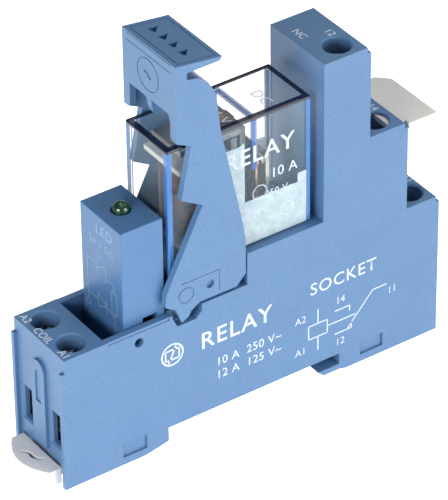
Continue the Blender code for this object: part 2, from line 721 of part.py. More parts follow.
def release_lever():
    """Two side plates joined by the grip, with pivot studs, hooks and lifting toes inside."""
    front = RELAY_START + 1.0
    grip_foot = RELAY_TOP + 2.3
    top = grip_foot + LEVER_GRIP + 0.8
    lever = side_prism("release_lever", lever_outline(), -HALF, -INNER)
    fuse(lever, side_prism("plate", lever_outline(), INNER, HALF))
    slab = [(front, top), (front + 9.2, top - 1.2), (front + 8.7, top - 1.9), (front + 0.4, top - 1.9)]
    skin = [(front, top - 0.4), (front, grip_foot + ARCH_HEIGHT), (front + LEVER_WEB, grip_foot + ARCH_HEIGHT)]
    skin += [(front + LEVER_WEB, top - 0.4)]
    leg = [(front, grip_foot + ARCH_HEIGHT + 0.5), (front, grip_foot), (front + LEVER_WEB, grip_foot)]
    leg += [(front + LEVER_WEB, grip_foot + ARCH_HEIGHT + 0.5)]
    neck_x, neck_z = front + 2.2, top - 3.2
    arc = (0.05, 0.4, 0.8, 1.2, 1.5)
    outer = [(neck_x + 5.9 * math.sin(a), neck_z - 6.8 * (1 - math.cos(a))) for a in arc]
    inner = [(neck_x - 0.8 + 5.4 * math.sin(a), neck_z - 1.3 - 6.8 * (1 - math.cos(a))) for a in arc]
    thumb = [(neck_x, top - 1.5), *outer, *inner[::-1], (front + 0.5, neck_z - 1.5), (front + 0.5, top - 1.5)]
    fuse(
        lever,
        side_prism("slab", slab, -INNER - 0.2, INNER + 0.2),
        side_prism("skin", skin, -INNER - 0.2, INNER + 0.2),
        side_prism("leg", leg, -HALF, -HALF + ARCH_LEG),
        side_prism("leg", leg, HALF - ARCH_LEG, HALF),
        side_prism("thumb", thumb, -INNER - 0.2, INNER + 0.2),
    )
    hook_foot = RELAY_TOP + HOOK_CLEARANCE
    hook = [(front + 2.4, hook_foot + 0.6), (front + 3.2, hook_foot), (front + 4.4, hook_foot)]
    hook += [(front + 5.0, hook_foot + 0.8), (front + 6.2, neck_z - 5.4), (front + 0.6, neck_z - 2.5)]
    for side in (-1, 1):
        h0, h1 = span(side, HOOK_SPACING / 2 - HOOK_THICK / 2, HOOK_SPACING / 2 + HOOK_THICK / 2)
        s0, s1 = span(side, CORE_HALF - PIVOT_LENGTH, INNER + 0.2)
        toe_x = PIVOT_X + TOE_IN
        fuse(
            lever,
            side_prism("hook", hook, h0, h1),
            pin_across("stud", PIVOT_X, PIVOT_Z, s0, s1, PIVOT_RADIUS),
            box("toe", toe_x, toe_x + TOE_LENGTH, s0, s1, SEAT - TOE_THICK, SEAT),
        )
    set_origin(lever, PIVOT_X, 0, PIVOT_Z)
    return paint(lever, BLUE)


# ---------------------------------------------------------------- relay
def relay_cover():
    w = COVER_WALL
    half = RELAY_HALF - w
    cover = box("relay_cover", RELAY_START, RELAY_END, -RELAY_HALF, RELAY_HALF, RELAY_BOTTOM, RELAY_TOP)
    cut(cover, box("inside", RELAY_START + w, RELAY_END - w, -half, half, RELAY_BOTTOM - 1, RELAY_TOP - w))
    return paint(cover, (0.55, 0.68, 0.80), 0.08)


def relay_base():
    """The floor of the relay, with a slot for each pin."""
    play = COVER_WALL + GAP
    half = RELAY_HALF - play
    top = RELAY_BOTTOM + BASE_THICK
    base = box("relay_base", RELAY_START + play, RELAY_END - play, -half, half, RELAY_BOTTOM, top)
    pins = [(COIL_PIN_X, PIN_Y), (COIL_PIN_X, -PIN_Y)]
    pins += [(x, -PIN_Y) for x in (COM_PIN_X, NO_PIN_X, NC_PIN_X)]
    u, v = PIN_THICK / 2 + GAP, PIN_WIDTH / 2 + GAP
    for x, y in pins:
        cut(base, box("slot", x - u, x + u, y - v, y + v, RELAY_BOTTOM - 1, top + 1))
    return paint(base, WHITE, 0.5)


def relay_pin(name, x, y, top):
    u, v = PIN_THICK / 2, PIN_WIDTH / 2
    return box(name, x - u, x + u, y - v, y + v, RELAY_BOTTOM - PIN_LENGTH, top)


STRIP_BOTTOM = RELAY_BOTTOM + BASE_THICK + GAP
STRIP_TOP = STRIP_BOTTOM + FIXED_CONTACT
COIL_X = RELAY_START + COIL_MIDDLE_IN
YOKE_BOTTOM = STRIP_BOTTOM
BOBBIN_BOTTOM = YOKE_BOTTOM + YOKE + GAP
WINDING_BOTTOM = BOBBIN_BOTTOM + BOBBIN_FLANGE + GAP
WINDING_TOP = WINDING_BOTTOM + WINDING_HEIGHT - 2 * GAP
BOBBIN_TOP = WINDING_TOP + GAP + BOBBIN_FLANGE
POLE_TOP = BOBBIN_TOP + GAP + 0.7
YOKE_X = COIL_X + 5.9
YOKE_HALF = RELAY_HALF - COVER_WALL - 1.3
HINGE_X = YOKE_X + YOKE + 0.4
HINGE_Z = POLE_TOP + AIR_GAP
LEG_X = HINGE_X + GAP
BLADE_X = LEG_X + ARMATURE + GAP + 1.6 + GAP
BLADE_FOOT = STRIP_TOP + GAP
RIVET_Z = BLADE_FOOT + 10.6
RIVET_Y = 2.4


def coil_pin(key, side):
    pin = relay_pin(f"relay_pin_{key}", COIL_PIN_X, side * PIN_Y, STRIP_TOP + 0.4)
    return paint(pin, TINNED, 0.3, 1.0)


def coil_bobbin():
    half = RELAY_HALF - COVER_WALL - GAP
    radius = CORE_RADIUS + GAP + BOBBIN_WALL
    x0, x1 = COIL_X - 5.2, COIL_X + 5.2
    bobbin = box("coil_bobbin", x0, x1, -half, half, BOBBIN_BOTTOM, BOBBIN_BOTTOM + BOBBIN_FLANGE)
    fuse(
        bobbin,
        box("flange", x0, x1, -half, half, BOBBIN_TOP - BOBBIN_FLANGE, BOBBIN_TOP),
        post("tube", COIL_X, 0, BOBBIN_BOTTOM + 0.5, BOBBIN_TOP - 0.5, radius),
    )
    cut(bobbin, post("bore", COIL_X, 0, BOBBIN_BOTTOM - 1, BOBBIN_TOP + 1, CORE_RADIUS + GAP))
    return paint(bobbin, WHITE, 0.5)


def coil_winding():
    inner = CORE_RADIUS + 2 * GAP + BOBBIN_WALL
    winding = post("coil_winding", COIL_X, 0, WINDING_BOTTOM, WINDING_TOP, RELAY_HALF - COVER_WALL - 0.6, 28)
    cut(winding, post("bore", COIL_X, 0, WINDING_BOTTOM - 1, WINDING_TOP + 1, inner, 28))
    return paint(winding, COPPER, 0.5)


def coil_core():
    core = post("coil_core", COIL_X, 0, BOBBIN_BOTTOM, BOBBIN_TOP + 0.5, CORE_RADIUS)
    fuse(core, post("pole", COIL_X, 0, BOBBIN_TOP + GAP, POLE_TOP, CORE_RADIUS + 1.2))
    return paint(core, STEEL, 0.4, 1.0)


def yoke():
    x1 = YOKE_X + YOKE
    z = YOKE_BOTTOM
    outline = [(COIL_X - 4.0, z), (x1, z), (x1, HINGE_Z - GAP), (YOKE_X, HINGE_Z - GAP)]
    outline += [(YOKE_X, z + YOKE), (COIL_X - 4.0, z + YOKE)]
    return paint(side_prism("yoke", outline, -YOKE_HALF, YOKE_HALF), STEEL, 0.45, 1.0)


def armature():
    """The hinged iron plate over the coil, with a leg that reaches down to the card."""
    z0, z1 = HINGE_Z, HINGE_Z + ARMATURE
    outline = [(COIL_X - 4.2, z0), (LEG_X, z0), (LEG_X, RIVET_Z + 1.4), (LEG_X + ARMATURE, RIVET_Z + 1.4)]
    outline += [(LEG_X + ARMATURE, z1), (COIL_X - 4.2, z1)]
    plate = side_prism("armature", outline, -YOKE_HALF, YOKE_HALF)
    set_origin(plate, HINGE_X, 0, HINGE_Z)
    return paint(plate, STEEL, 0.35, 1.0)


def actuator_card():
    x0 = LEG_X + ARMATURE + GAP
    card = box("actuator_card", x0, x0 + 1.6, -1.4, 1.4, RIVET_Z + 1.6, RIVET_Z + 4.0)
    set_origin(card, HINGE_X, 0, HINGE_Z)
    return paint(card, BLACK, 0.5)


def hinge_spring():
    """The leaf that lifts the armature, lying on its back."""
    z = HINGE_Z + ARMATURE + GAP
    leaf = box("hinge_spring", HINGE_X - 4.5, LEG_X + ARMATURE - 0.2, -1.3, 1.3, z, z + 0.25)
    set_origin(leaf, HINGE_X, 0, HINGE_Z)
    return paint(leaf, (0.75, 0.62, 0.40), 0.35, 1.0)


def rivet(x0, x1, y):
    """A silver contact rivet along x."""
    corners = [place(x0, y + u, RIVET_Z + v) for u, v in circle(RIVET_RADIUS, 16)]
    return prism("rivet", corners, Vector(((x1 - x0) * MM, 0, 0)))


def moving_contact():
    """The spring blade between the two fixed contacts, with a rivet on each face."""
    half = RIVET_Y + 1.5
    blade = box("moving_contact", BLADE_X, BLADE_X + BLADE, -half, half, BLADE_FOOT, RIVET_Z + 4.2)
    cut(blade, box("split", BLADE_X - 1, BLADE_X + 1, -0.4, 0.4, BLADE_FOOT + 3.5, RIVET_Z + 1.2))
    fuse(
        blade,
        rivet(BLADE_X + 0.2, BLADE_X + BLADE + RIVET, -RIVET_Y),
        rivet(BLADE_X - 0.2, BLADE_X + 0.2, RIVET_Y),
    )
    set_origin(blade, BLADE_X + BLADE / 2, 0, BLADE_FOOT)
    return paint(blade, (0.72, 0.50, 0.30), 0.3, 1.0)


def common_terminal():
    terminal = relay_pin("common_terminal", COM_PIN_X, -PIN_Y, STRIP_TOP)
    low = -PIN_Y - PIN_WIDTH / 2
    strip = box("strip", COM_PIN_X - 0.3, BLADE_X + BLADE, low, low + 1.5, STRIP_BOTTOM, STRIP_TOP)
    rest = box("rest", BLADE_X - 1.2, BLADE_X + BLADE, low, 0.6, STRIP_BOTTOM, STRIP_TOP)
    fuse(terminal, strip, rest)
    return paint(terminal, TINNED, 0.3, 1.0)


def no_terminal():
    x0 = BLADE_X + BLADE + RIVET + CONTACT_TRAVEL + GAP + RIVET
    low = -PIN_Y - PIN_WIDTH / 2
    terminal = relay_pin("no_terminal", NO_PIN_X, -PIN_Y, STRIP_TOP)
    fuse(
        terminal,
        box("strip", *sorted((NO_PIN_X - 0.3, x0)), low, low + 1.5, STRIP_BOTTOM, STRIP_TOP),
        box("foot", x0, x0 + FIXED_CONTACT, low, -RIVET_Y + 1.5, STRIP_BOTTOM, RIVET_Z + 1.6),
        rivet(x0 - RIVET, x0 + 0.2, -RIVET_Y),
    )
    return paint(terminal, TINNED, 0.3, 1.0)


def nc_terminal():
    x1 = BLADE_X - 0.2 - GAP - RIVET
    low = -PIN_Y - PIN_WIDTH / 2
    high = RIVET_Y + 1.6
    terminal = relay_pin("nc_terminal", NC_PIN_X, -PIN_Y, STRIP_TOP)
    fuse(
        terminal,
        box("cross", NC_PIN_X - 0.7, NC_PIN_X + 0.7, low, high, STRIP_BOTTOM, STRIP_TOP),
        box("strip", x1 - FIXED_CONTACT, NC_PIN_X, high - 1.6, high, STRIP_BOTTOM, STRIP_TOP),
        box("foot", x1 - FIXED_CONTACT, x1, RIVET_Y - 1.1, high, STRIP_BOTTOM, RIVET_Z + 1.3),
        rivet(x1 - 0.2, x1 + RIVET, RIVET_Y),
    )
    return paint(terminal, TINNED, 0.3, 1.0)


# ---------------------------------------------------------------- indicator module
MODULE_BOTTOM = MODULE_SEAT + GAP
MODULE_TOP = MODULE_BOTTOM + MODULE_HEIGHT
BOARD_BOTTOM = MODULE_BOTTOM + 2.2


def module_housing():
    s = MODULE_SHELL
    half = CORE_HALF - s
    window_x = MODULE_END - 4.3
    shell = box("module_housing", MODULE_START, MODULE_END, -CORE_HALF, CORE_HALF, MODULE_BOTTOM, MODULE_TOP)
    cut(
        shell,
        box("inside", MODULE_START + s, MODULE_END - s, -half, half, MODULE_BOTTOM - 1, MODULE_TOP - s),
        post("led_hole", MODULE_PIN_X, 0, MODULE_TOP - 2, MODULE_TOP + 1, LED_RADIUS + 0.15),
        box("window", window_x, window_x + 2.8, -HALF, 0.1 - half, WALL_TOP - 1.0, WALL_TOP + 0.6),
    )
    return paint(shell, (0.11, 0.25, 0.50))


def module_base():
    s = MODULE_SHELL + GAP
    plate = box(
        "module_base", MODULE_START + s, MODULE_END - s, -CORE_HALF + s, CORE_HALF - s,
        MODULE_BOTTOM, MODULE_BOTTOM + 1.2,
    )
    u, v = PIN_THICK / 2 + GAP, PIN_WIDTH / 2 + GAP
    x0, x1 = MODULE_PIN_X - u, MODULE_PIN_X + u
    for y in (-TERMINAL_Y, TERMINAL_Y):
        cut(plate, box("slot", x0, x1, y - v, y + v, MODULE_BOTTOM - 1, MODULE_BOTTOM + 2))
    return paint(plate, BLACK, 0.5)


def module_pin(key, side):
    u, v = PIN_THICK / 2, PIN_WIDTH / 2
    y = side * TERMINAL_Y
    pin = box(
        f"module_pin_{key}", MODULE_PIN_X - u, MODULE_PIN_X + u, y - v, y + v,
        MODULE_BOTTOM - MODULE_PIN_LENGTH, BOARD_BOTTOM - GAP,
    )
    return paint(pin, TINNED, 0.3, 1.0)


def module_board():
    board = box(
        "module_board", MODULE_PIN_X - BOARD / 2, MODULE_PIN_X + BOARD / 2, -CORE_HALF + 1.8, CORE_HALF - 1.8,
        BOARD_BOTTOM, MODULE_TOP - 6.5,
    )
    return paint(board, (0.02, 0.16, 0.07), 0.5)


def board_component(name, z, radius, length, colour):
    """A small round part lying across the board's face."""
    x = MODULE_PIN_X + BOARD / 2 + GAP + radius
    return paint(pin_across(name, x, z, -length / 2, length / 2, radius, 16), colour, 0.4)


def led_lens():
    """The lamp: a round body with a domed tip that stands out of the module."""
    rings = [(LED_RADIUS, MODULE_TOP - 5.0), (LED_RADIUS, MODULE_TOP)]
    rings += [(LED_RADIUS * math.cos(a), MODULE_TOP + LED_RADIUS * math.sin(a)) for a in (0.4, 0.8, 1.2)]
    builder = bmesh.new()
    loops = [[builder.verts.new(place(MODULE_PIN_X + u, v, z)) for u, v in circle(r)] for r, z in rings]
    tip = builder.verts.new(place(MODULE_PIN_X, 0, MODULE_TOP + LED_RADIUS))
    builder.faces.new(loops[0])
    for low, high in zip(loops, loops[1:]):
        for i in range(ROUND):
            j = (i + 1) % ROUND
            builder.faces.new((low[i], low[j], high[j], high[i]))
    for i in range(ROUND):
        builder.faces.new((loops[-1][i], loops[-1][(i + 1) % ROUND], tip))
    return paint(add_mesh("led_lens", builder), (0.02, 0.35, 0.10), 0.15)


# ---------------------------------------------------------------- the whole object
def build():
    clear_scene()
    socket_housing()
    base_cover()
    foot_cover()
    coil_busbar("a1")
    coil_busbar("a2")
    contact_busbar("12", "nc_busbar_12", NC_PIN_X, NC_RUN)
    contact_busbar("14", "no_busbar_14", NO_PIN_X, NO_RUN)
    contact_busbar("11", "common_busbar_11", COM_PIN_X, COM_RUN)
    for key in TERMINALS:
        clamp_cage(key)
        terminal_screw(key)
    rail_clip()
    marker_tag()
    release_lever()
    relay_cover()
    relay_base()
    coil_pin("a1", -1)
    coil_pin("a2", 1)
    coil_bobbin()
    coil_winding()
    coil_core()
    yoke()
    armature()
    actuator_card()
    hinge_spring()
    moving_contact()
    common_terminal()
    no_terminal()
    nc_terminal()
    module_housing()
    module_base()
    module_pin("a1", -1)
    module_pin("a2", 1)
    module_board()
    board_component("resistor", MODULE_BOTTOM + 9, 1.1, 5.5, (0.62, 0.55, 0.42))
    board_component("diode", MODULE_BOTTOM + 14, 0.8, 4.0, BLACK)
    led_lens()


build()
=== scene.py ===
# %% [markdown]
# # A plug-in relay in its rail socket
# The object is a slim screw-terminal socket that snaps onto a mounting rail. A clear relay is
# plugged into it, a small indicator module stands beside the relay, and a blue lever holds the
# relay down and lifts it out. The measured CAD frame already gives every solid its true size and
# place. This script gives each of them the look of the real thing: moulded grain, rounded edges,
# wound wire, clear cover, screws and print.
#
# The lesson goes piece by piece. Each step says what the piece is, how it could be made, and why
# one way was chosen.

import json
import math

import bmesh
import bpy
from mathutils import Matrix, Vector

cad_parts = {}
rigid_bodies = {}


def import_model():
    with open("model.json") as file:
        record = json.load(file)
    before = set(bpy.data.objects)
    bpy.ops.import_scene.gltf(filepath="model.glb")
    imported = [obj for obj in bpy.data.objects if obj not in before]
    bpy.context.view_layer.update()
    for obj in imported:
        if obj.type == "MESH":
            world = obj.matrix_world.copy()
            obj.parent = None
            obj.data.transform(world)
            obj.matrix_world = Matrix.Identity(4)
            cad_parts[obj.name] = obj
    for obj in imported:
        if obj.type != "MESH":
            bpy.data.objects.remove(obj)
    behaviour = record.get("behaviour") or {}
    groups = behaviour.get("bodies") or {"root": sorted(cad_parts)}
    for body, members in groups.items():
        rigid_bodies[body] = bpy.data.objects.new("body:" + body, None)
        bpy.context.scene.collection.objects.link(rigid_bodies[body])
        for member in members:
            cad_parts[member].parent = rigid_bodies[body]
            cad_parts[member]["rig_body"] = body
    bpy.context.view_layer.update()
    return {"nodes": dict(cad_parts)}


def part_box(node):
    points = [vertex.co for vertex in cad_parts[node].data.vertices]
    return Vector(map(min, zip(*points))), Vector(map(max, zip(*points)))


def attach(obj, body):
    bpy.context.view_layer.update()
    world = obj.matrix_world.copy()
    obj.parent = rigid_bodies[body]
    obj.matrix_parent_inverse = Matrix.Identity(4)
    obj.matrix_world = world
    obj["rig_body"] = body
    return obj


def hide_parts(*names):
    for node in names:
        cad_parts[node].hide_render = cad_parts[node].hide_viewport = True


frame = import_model()

# %% [markdown]
# ## Measuring on the bench
# Working sizes are easier to think about in millimetres from the foot of the coil end, with x
# along the socket, y across it and z up. The frame itself is in metres with its origin on the
# rail. One function turns a bench place into a frame place, and it reads its zero from the
# socket body, so nothing here has to be typed twice.

# %% Bench places
MM = 0.001
socket_low, socket_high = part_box("socket_housing")
bench_zero = Vector((socket_low.x, 0.0, socket_low.z))


def at(x, y, z):
    """A bench place in millimetres, as a point of the frame in metres."""
    return bench_zero + Vector((x, y, z)) * MM


def bench_box(node):
    """The lowest and highest corner of a CAD node in bench millimetres."""
    low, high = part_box(node)
    return (low - bench_zero) / MM, (high - bench_zero) / MM


print("socket body on the bench:", [round(v, 1) for v in bench_box("socket_housing")[1]])

# %% [markdown]
# ## Colours
# A paint chip is read as three numbers from 0 to 255, but a shader works on linear light. A
# small conversion keeps the numbers in the familiar form, and one place to change each colour.


# %% Colour chips
def chip(red, green, blue):
    """A colour chip, 0 to 255 in each channel, as linear light."""
    return tuple(
        v / 12.92 if v <= 0.04045 else ((v + 0.055) / 1.055) ** 2.4
        for v in (red / 255, green / 255, blue / 255)
    )


SOCKET_BLUE = chip(85, 123, 164)
MODULE_BLUE = chip(74, 116, 162)
COVER_PLATE_BLUE = chip(74, 110, 158)
print("socket blue in linear light:", [round(v, 3) for v in SOCKET_BLUE])

# %% [markdown]
# ## Moulded plastic
# The socket, lever and module are glass-filled nylon. Its surface comes from a spark-eroded
# mould, so it is faintly pebbled, and the glass makes a fine light and dark speckle. An image
# could carry that, but a procedural noise in Object coordinates stays sharp at any distance and
# never stretches. Two noises do it: one small for the speckle and the pebble bump, one large and
# weak for the slow change of tone that flow in the mould leaves.


# %% A moulded plastic
def principled(name, colour, roughness, metallic=0.0):
    """A new material, with its node tree, links and main shader at hand."""
    material = bpy.data.materials.new(name)
    material.use_nodes = True
    shader = material.node_tree.nodes["Principled BSDF"]
    shader.inputs["Base Color"].default_value = (*colour, 1.0)
    shader.inputs["Roughness"].default_value = roughness
    shader.inputs["Metallic"].default_value = metallic
    return material, shader


def link(material, source, target):
    material.node_tree.links.new(source, target)


def feed(material, socket, value):
    """Gives an input a wire from another node, a colour or a number."""
    if isinstance(value, bpy.types.NodeSocket):
        link(material, value, socket)
    elif socket.type == "RGBA":
        socket.default_value = (*value, 1.0)
    else:
        socket.default_value = value


def add_node(material, kind, **settings):
    """A node of that kind, with its settings and its inputs set by name."""
    node = material.node_tree.nodes.new(kind)
    for key, value in settings.items():
        if key in node.inputs:
            feed(material, node.inputs[key], value)
        else:
            setattr(node, key, value)
    return node


def object_place(material):
    return add_node(material, "ShaderNodeTexCoord").outputs["Object"]


def noise_at(material, place, size, detail):
    """Noise whose lumps are about this many millimetres across."""
    scale = 1 / (size * MM)
    noise = add_node(material, "ShaderNodeTexNoise", Vector=place, Scale=scale, Detail=detail)
    return noise.outputs["Fac"]


def object_noise(material, size, detail=2.0):
    """Noise fixed to the piece."""
    return noise_at(material, object_place(material), size, detail)


def tone(material, value, dark, light, low=0.3, high=0.7):
    """Turns a value into a colour between two tones."""
    ramp = add_node(material, "ShaderNodeValToRGB", Fac=value)
    stops = ramp.color_ramp.elements
    stops[0].position, stops[0].color = low, (*dark, 1)
    stops[1].position, stops[1].color = high, (*light, 1)
    return ramp.outputs["Color"]


def scaled(colour, factor):
    return tuple(min(1.0, v * factor) for v in colour)


def mixed(material, first, second, factor, kind="MIX"):
    """Mixes two colours by a mask or a number."""
    mix = add_node(material, "ShaderNodeMix", data_type="RGBA", blend_type=kind)
    colours = [socket for socket in mix.inputs if socket.type == "RGBA"]
    feed(material, mix.inputs["Factor"], factor)
    feed(material, colours[0], first)
    feed(material, colours[1], second)
    return next(socket for socket in mix.outputs if socket.type == "RGBA")


def add_bump(material, shader, height, depth):
    """Roughens the surface by that many millimetres."""
    bump = add_node(material, "ShaderNodeBump", Height=height, Distance=depth * MM)
    link(material, bump.outputs["Normal"], shader.inputs["Normal"])


def moulded_plastic(name, colour, roughness=0.42, speckle=0.10, grain=0.28, depth=0.012):
    """A grained plastic: fine speckle, slow change of tone and a pebbled surface."""
    material, shader = principled(name, colour, roughness)
    fine = object_noise(material, grain, 3.0)
    slow = object_noise(material, 9.0, 2.0)
    speckled = tone(material, fine, scaled(colour, 1 - speckle), scaled(colour, 1 + speckle))
    clouded = tone(material, slow, (0.94, 0.95, 0.97), (1.0, 1.0, 1.0), 0.35, 0.65)
    result = mixed(material, speckled, clouded, 1.0, "MULTIPLY")
    link(material, result, shader.inputs["Base Color"])
    add_bump(material, shader, fine, depth)
    return material


socket_plastic = moulded_plastic("socket_plastic", SOCKET_BLUE)
lever_plastic = moulded_plastic("lever_plastic", SOCKET_BLUE, roughness=0.40)
module_plastic = moulded_plastic("module_plastic", MODULE_BLUE, roughness=0.38, speckle=0.07)
base_plastic = moulded_plastic("base_plastic", COVER_PLATE_BLUE, roughness=0.45)
print("moulded plastics:", [m.name for m in (socket_plastic, lever_plastic, module_plastic)])

# %% [markdown]
# ## The other finishes
# The rail foot and the marker tag are unfilled white nylon, smooth and slightly waxy, so light
# goes a little way in. The screws are zinc-plated steel, the blades and busbars are tinned, the
# magnet parts are dull iron. Metals get their look from an uneven roughness rather than from
# colour: a stretched noise gives drawn metal its fine lines.


# %% White nylon, metals and print
def two_toned(name, size, dark, light, roughness, metallic=0.0, detail=2.0):
    """A finish whose colour wanders between two tones, in lumps of that size."""
    material, shader = principled(name, light, roughness, metallic)
    wander = tone(material, object_noise(material, size, detail), dark, light)
    link(material, wander, shader.inputs["Base Color"])
    return material, shader


def white_nylon(name, colour):
    material, shader = two_toned(name, 2.5, scaled(colour, 0.965), colour, 0.38, detail=3.0)
    shader.inputs["Subsurface Weight"].default_value = 0.15
    shader.inputs["Subsurface Radius"].default_value = (0.6, 0.6, 0.6)
    shader.inputs["Subsurface Scale"].default_value = 0.5 * MM
    add_bump(material, shader, object_noise(material, 0.5), 0.004)
    return material


def worked_metal(name, colour, roughness, stretch=(1, 1, 1), size=0.6, spread=0.12):
    """A metal whose roughness and tone change along fine lines or patches."""
    material, shader = principled(name, colour, roughness, 1.0)
    drawn = add_node(
        material, "ShaderNodeMapping", Vector=object_place(material), Scale=stretch
    ).outputs["Vector"]
    noise = noise_at(material, drawn, size, 4.0)
    toned = tone(material, noise, scaled(colour, 0.75), scaled(colour, 1.08))
    link(material, toned, shader.inputs["Base Color"])
    limits = {"To Min": roughness - spread, "To Max": roughness + spread}
    uneven = add_node(material, "ShaderNodeMapRange", Value=noise, **limits)
    link(material, uneven.outputs["Result"], shader.inputs["Roughness"])
    add_bump(material, shader, noise, 0.006)
    return material


foot_nylon = white_nylon("foot_nylon", chip(236, 236, 238))
tag_nylon = white_nylon("tag_nylon", chip(222, 221, 216))
coil_nylon = white_nylon("coil_nylon", chip(226, 224, 214))
screw_steel = worked_metal("screw_steel", chip(196, 196, 194), 0.32, size=0.5)
clamp_steel = worked_metal("clamp_steel", chip(168, 166, 158), 0.42, (1, 1, 0.15), 0.4)
tinned_copper = worked_metal("tinned_copper", chip(205, 202, 192), 0.30, (0.15, 1, 1), 0.4)
magnet_iron = worked_metal("magnet_iron", chip(150, 150, 148), 0.40, (1, 0.2, 1), 0.5)
spring_bronze = worked_metal("spring_bronze", chip(205, 158, 104), 0.28, (1, 1, 0.2), 0.4)
print("metals:", screw_steel.name, clamp_steel.name, tinned_copper.name, magnet_iron.name)


def printed_ink(name, colour, roughness=0.5):
    """Pad-printed ink: thin, with tiny darker patches where the plastic shows through."""
    material, shader = principled(name, colour, roughness)
    worn = object_noise(material, 0.18, 4.0)
    toned = tone(material, worn, scaled(colour, 0.72), colour, 0.32, 0.55)
    link(material, toned, shader.inputs["Base Color"])
    return material


white_ink = printed_ink("white_ink", chip(206, 219, 236))
pale_ink = printed_ink("pale_ink", chip(138, 168, 205))

# %% [markdown]
# ## Taking a finish from the frame
# The frame's solids are exact but razor sharp, and their faces are loose triangles. A real
# moulding has a small radius on every edge, and that radius is what catches the light. The way
# chosen is to copy a solid, merge its points, join its flat triangles, cut in any fine detail
# with Booleans, and round what is left with a Bevel, whose hardened normals keep the flats flat.
# The shading that came with the frame's triangles is dropped, because it would wrinkle them.
# The rounded copy then stands for the CAD solid and rides on the same body.


# %% Copy, cut, round and show
def object_from(builder, name):
    """Turns a bmesh into an object of the scene and frees the bmesh."""
    mesh = bpy.data.meshes.new(name)
    builder.to_mesh(mesh)
    builder.free()
    piece = bpy.data.objects.new(name, mesh)
    bpy.context.scene.collection.objects.link(piece)
    return piece


def cad_copy(node, name):
    """A copy of a CAD solid as one closed mesh with its flat faces joined."""
    builder = bmesh.new()
    builder.from_mesh(frame["nodes"][node].data)
    bmesh.ops.remove_doubles(builder, verts=builder.verts, dist=0.002 * MM)
    bmesh.ops.dissolve_limit(
        builder, angle_limit=math.radians(0.5), verts=builder.verts, edges=builder.edges
    )
    piece = object_from(builder, name)
    for layer in ("custom_normal", "sharp_edge", "sharp_face"):
        if layer in piece.data.attributes:
            piece.data.attributes.remove(piece.data.attributes[layer])
    return piece


def settle(piece):
    """Takes the mesh that the modifiers make, and leaves a plain object."""
    bpy.context.view_layer.update()
    graph = bpy.context.evaluated_depsgraph_get()
    mesh = bpy.data.meshes.new_from_object(piece.evaluated_get(graph))
    piece.modifiers.clear()
    piece.data = mesh
    return piece


def volume(piece):
    """The volume inside a closed mesh, in cubic millimetres."""
    builder = bmesh.new()
    builder.from_mesh(piece.data)
    inside = builder.calc_volume(signed=True) * 1e9
    builder.free()
    return inside


def carve(piece, *cutters):
    """Cuts each cutter away and removes it. A cut has to make the piece smaller."""
    for cutter in cutters:
        before = volume(piece)
        modifier = piece.modifiers.new("carve", "BOOLEAN")
        modifier.operation = "DIFFERENCE"
        modifier.solver = "EXACT"
        modifier.object = cutter
        settle(piece)
        bpy.data.objects.remove(cutter, do_unlink=True)
        if volume(piece) > before:
            print(f"a cut filled {piece.name} by {volume(piece) - before:.1f} mm3")
    return piece


def round_edges(piece, radius, segments=2, angle=32):
    """Rounds every edge sharper than the angle, and keeps the shading of the flats flat."""
    bevel = piece.modifiers.new("round", "BEVEL")
    bevel.width = radius * MM
    bevel.segments = segments
    bevel.limit_method = "ANGLE"
    bevel.angle_limit = math.radians(angle)
    bevel.harden_normals = True
    for face in piece.data.polygons:
        face.use_smooth = True
    return settle(piece)


def dress(piece, material):
    """Gives a piece one material."""
    piece.data.materials.clear()
    piece.data.materials.append(material)
    return piece


def stand_for(piece, node, material):
    """The piece takes the place of a CAD node and moves with that node's body."""
    dress(piece, material)
    body = frame["nodes"][node]["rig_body"]
    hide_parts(node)
    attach(piece, body)
    print(f"{piece.name}: {len(piece.data.polygons)} faces, rides on {body}")
    return piece


def rounded_copy(node, name, radius, material, segments=2):
    """A CAD solid that needs nothing but rounded edges and its finish."""
    piece = round_edges(cad_copy(node, name), radius, segments)
    return stand_for(piece, node, material)


def join_pieces(name, pieces):
    """Several meshes as one object."""
    builder = bmesh.new()
    for piece in pieces:
        builder.from_mesh(piece.data)
        bpy.data.objects.remove(piece, do_unlink=True)
    return object_from(builder, name)


# %% [markdown]
# ## Small shapes for cutters
# Most cutters are an outline pushed along a straight line, so one function serves them all: it
# takes the outline's corners in space and the push. Normals are made to face outwards, because
# an inside-out cutter cuts nothing.


# %% Outlines pushed along a line
def tapered(name, corners, far_corners):
    """A closed solid between two outlines that have the same number of corners."""
    builder = bmesh.new()
    first = [builder.verts.new(c) for c in corners]
    second = [builder.verts.new(c) for c in far_corners]
    builder.faces.new(first[::-1])
    builder.faces.new(second)
    for i in range(len(first)):
        j = (i + 1) % len(first)
        builder.faces.new((first[i], first[j], second[j], second[i]))
    bmesh.ops.recalc_face_normals(builder, faces=builder.faces)
    return object_from(builder, name)


def pushed(name, corners, push):
    """A closed solid: the outline and a second one moved by the push, with walls between."""
    return tapered(name, corners, [c + push for c in corners])


def block(x0, x1, y0, y1, z0, z1):
    """A box between bench places, used as a cutter."""
    corners = [at(x0, y0, z0), at(x1, y0, z0), at(x1, y1, z0), at(x0, y1, z0)]
    return pushed("block", corners, Vector((0, 0, (z1 - z0) * MM)))


def arc_points(radius, count, sweep, x=0.0, y=0.0):
    """Places along an arc about (x, y), from the right and anticlockwise, without its end."""
    angles = [sweep * i / count for i in range(count)]
    return [(x + radius * math.cos(a), y + radius * math.sin(a)) for a in angles]


def ring_points(radius, count):
    return arc_points(radius, count, 2 * math.pi)


# %% [markdown]
# ## The socket body
# The body is one tall stepped moulding with a screw terminal in each step. The frame already
# holds its steps, shafts and windows. What the eye still misses is moulding detail: a funnel
# round each wire hole, a sunk panel in the rib between the two coil wire holes, the ledge line
# along the top of the side wall, and a small chamfer at each screw shaft.

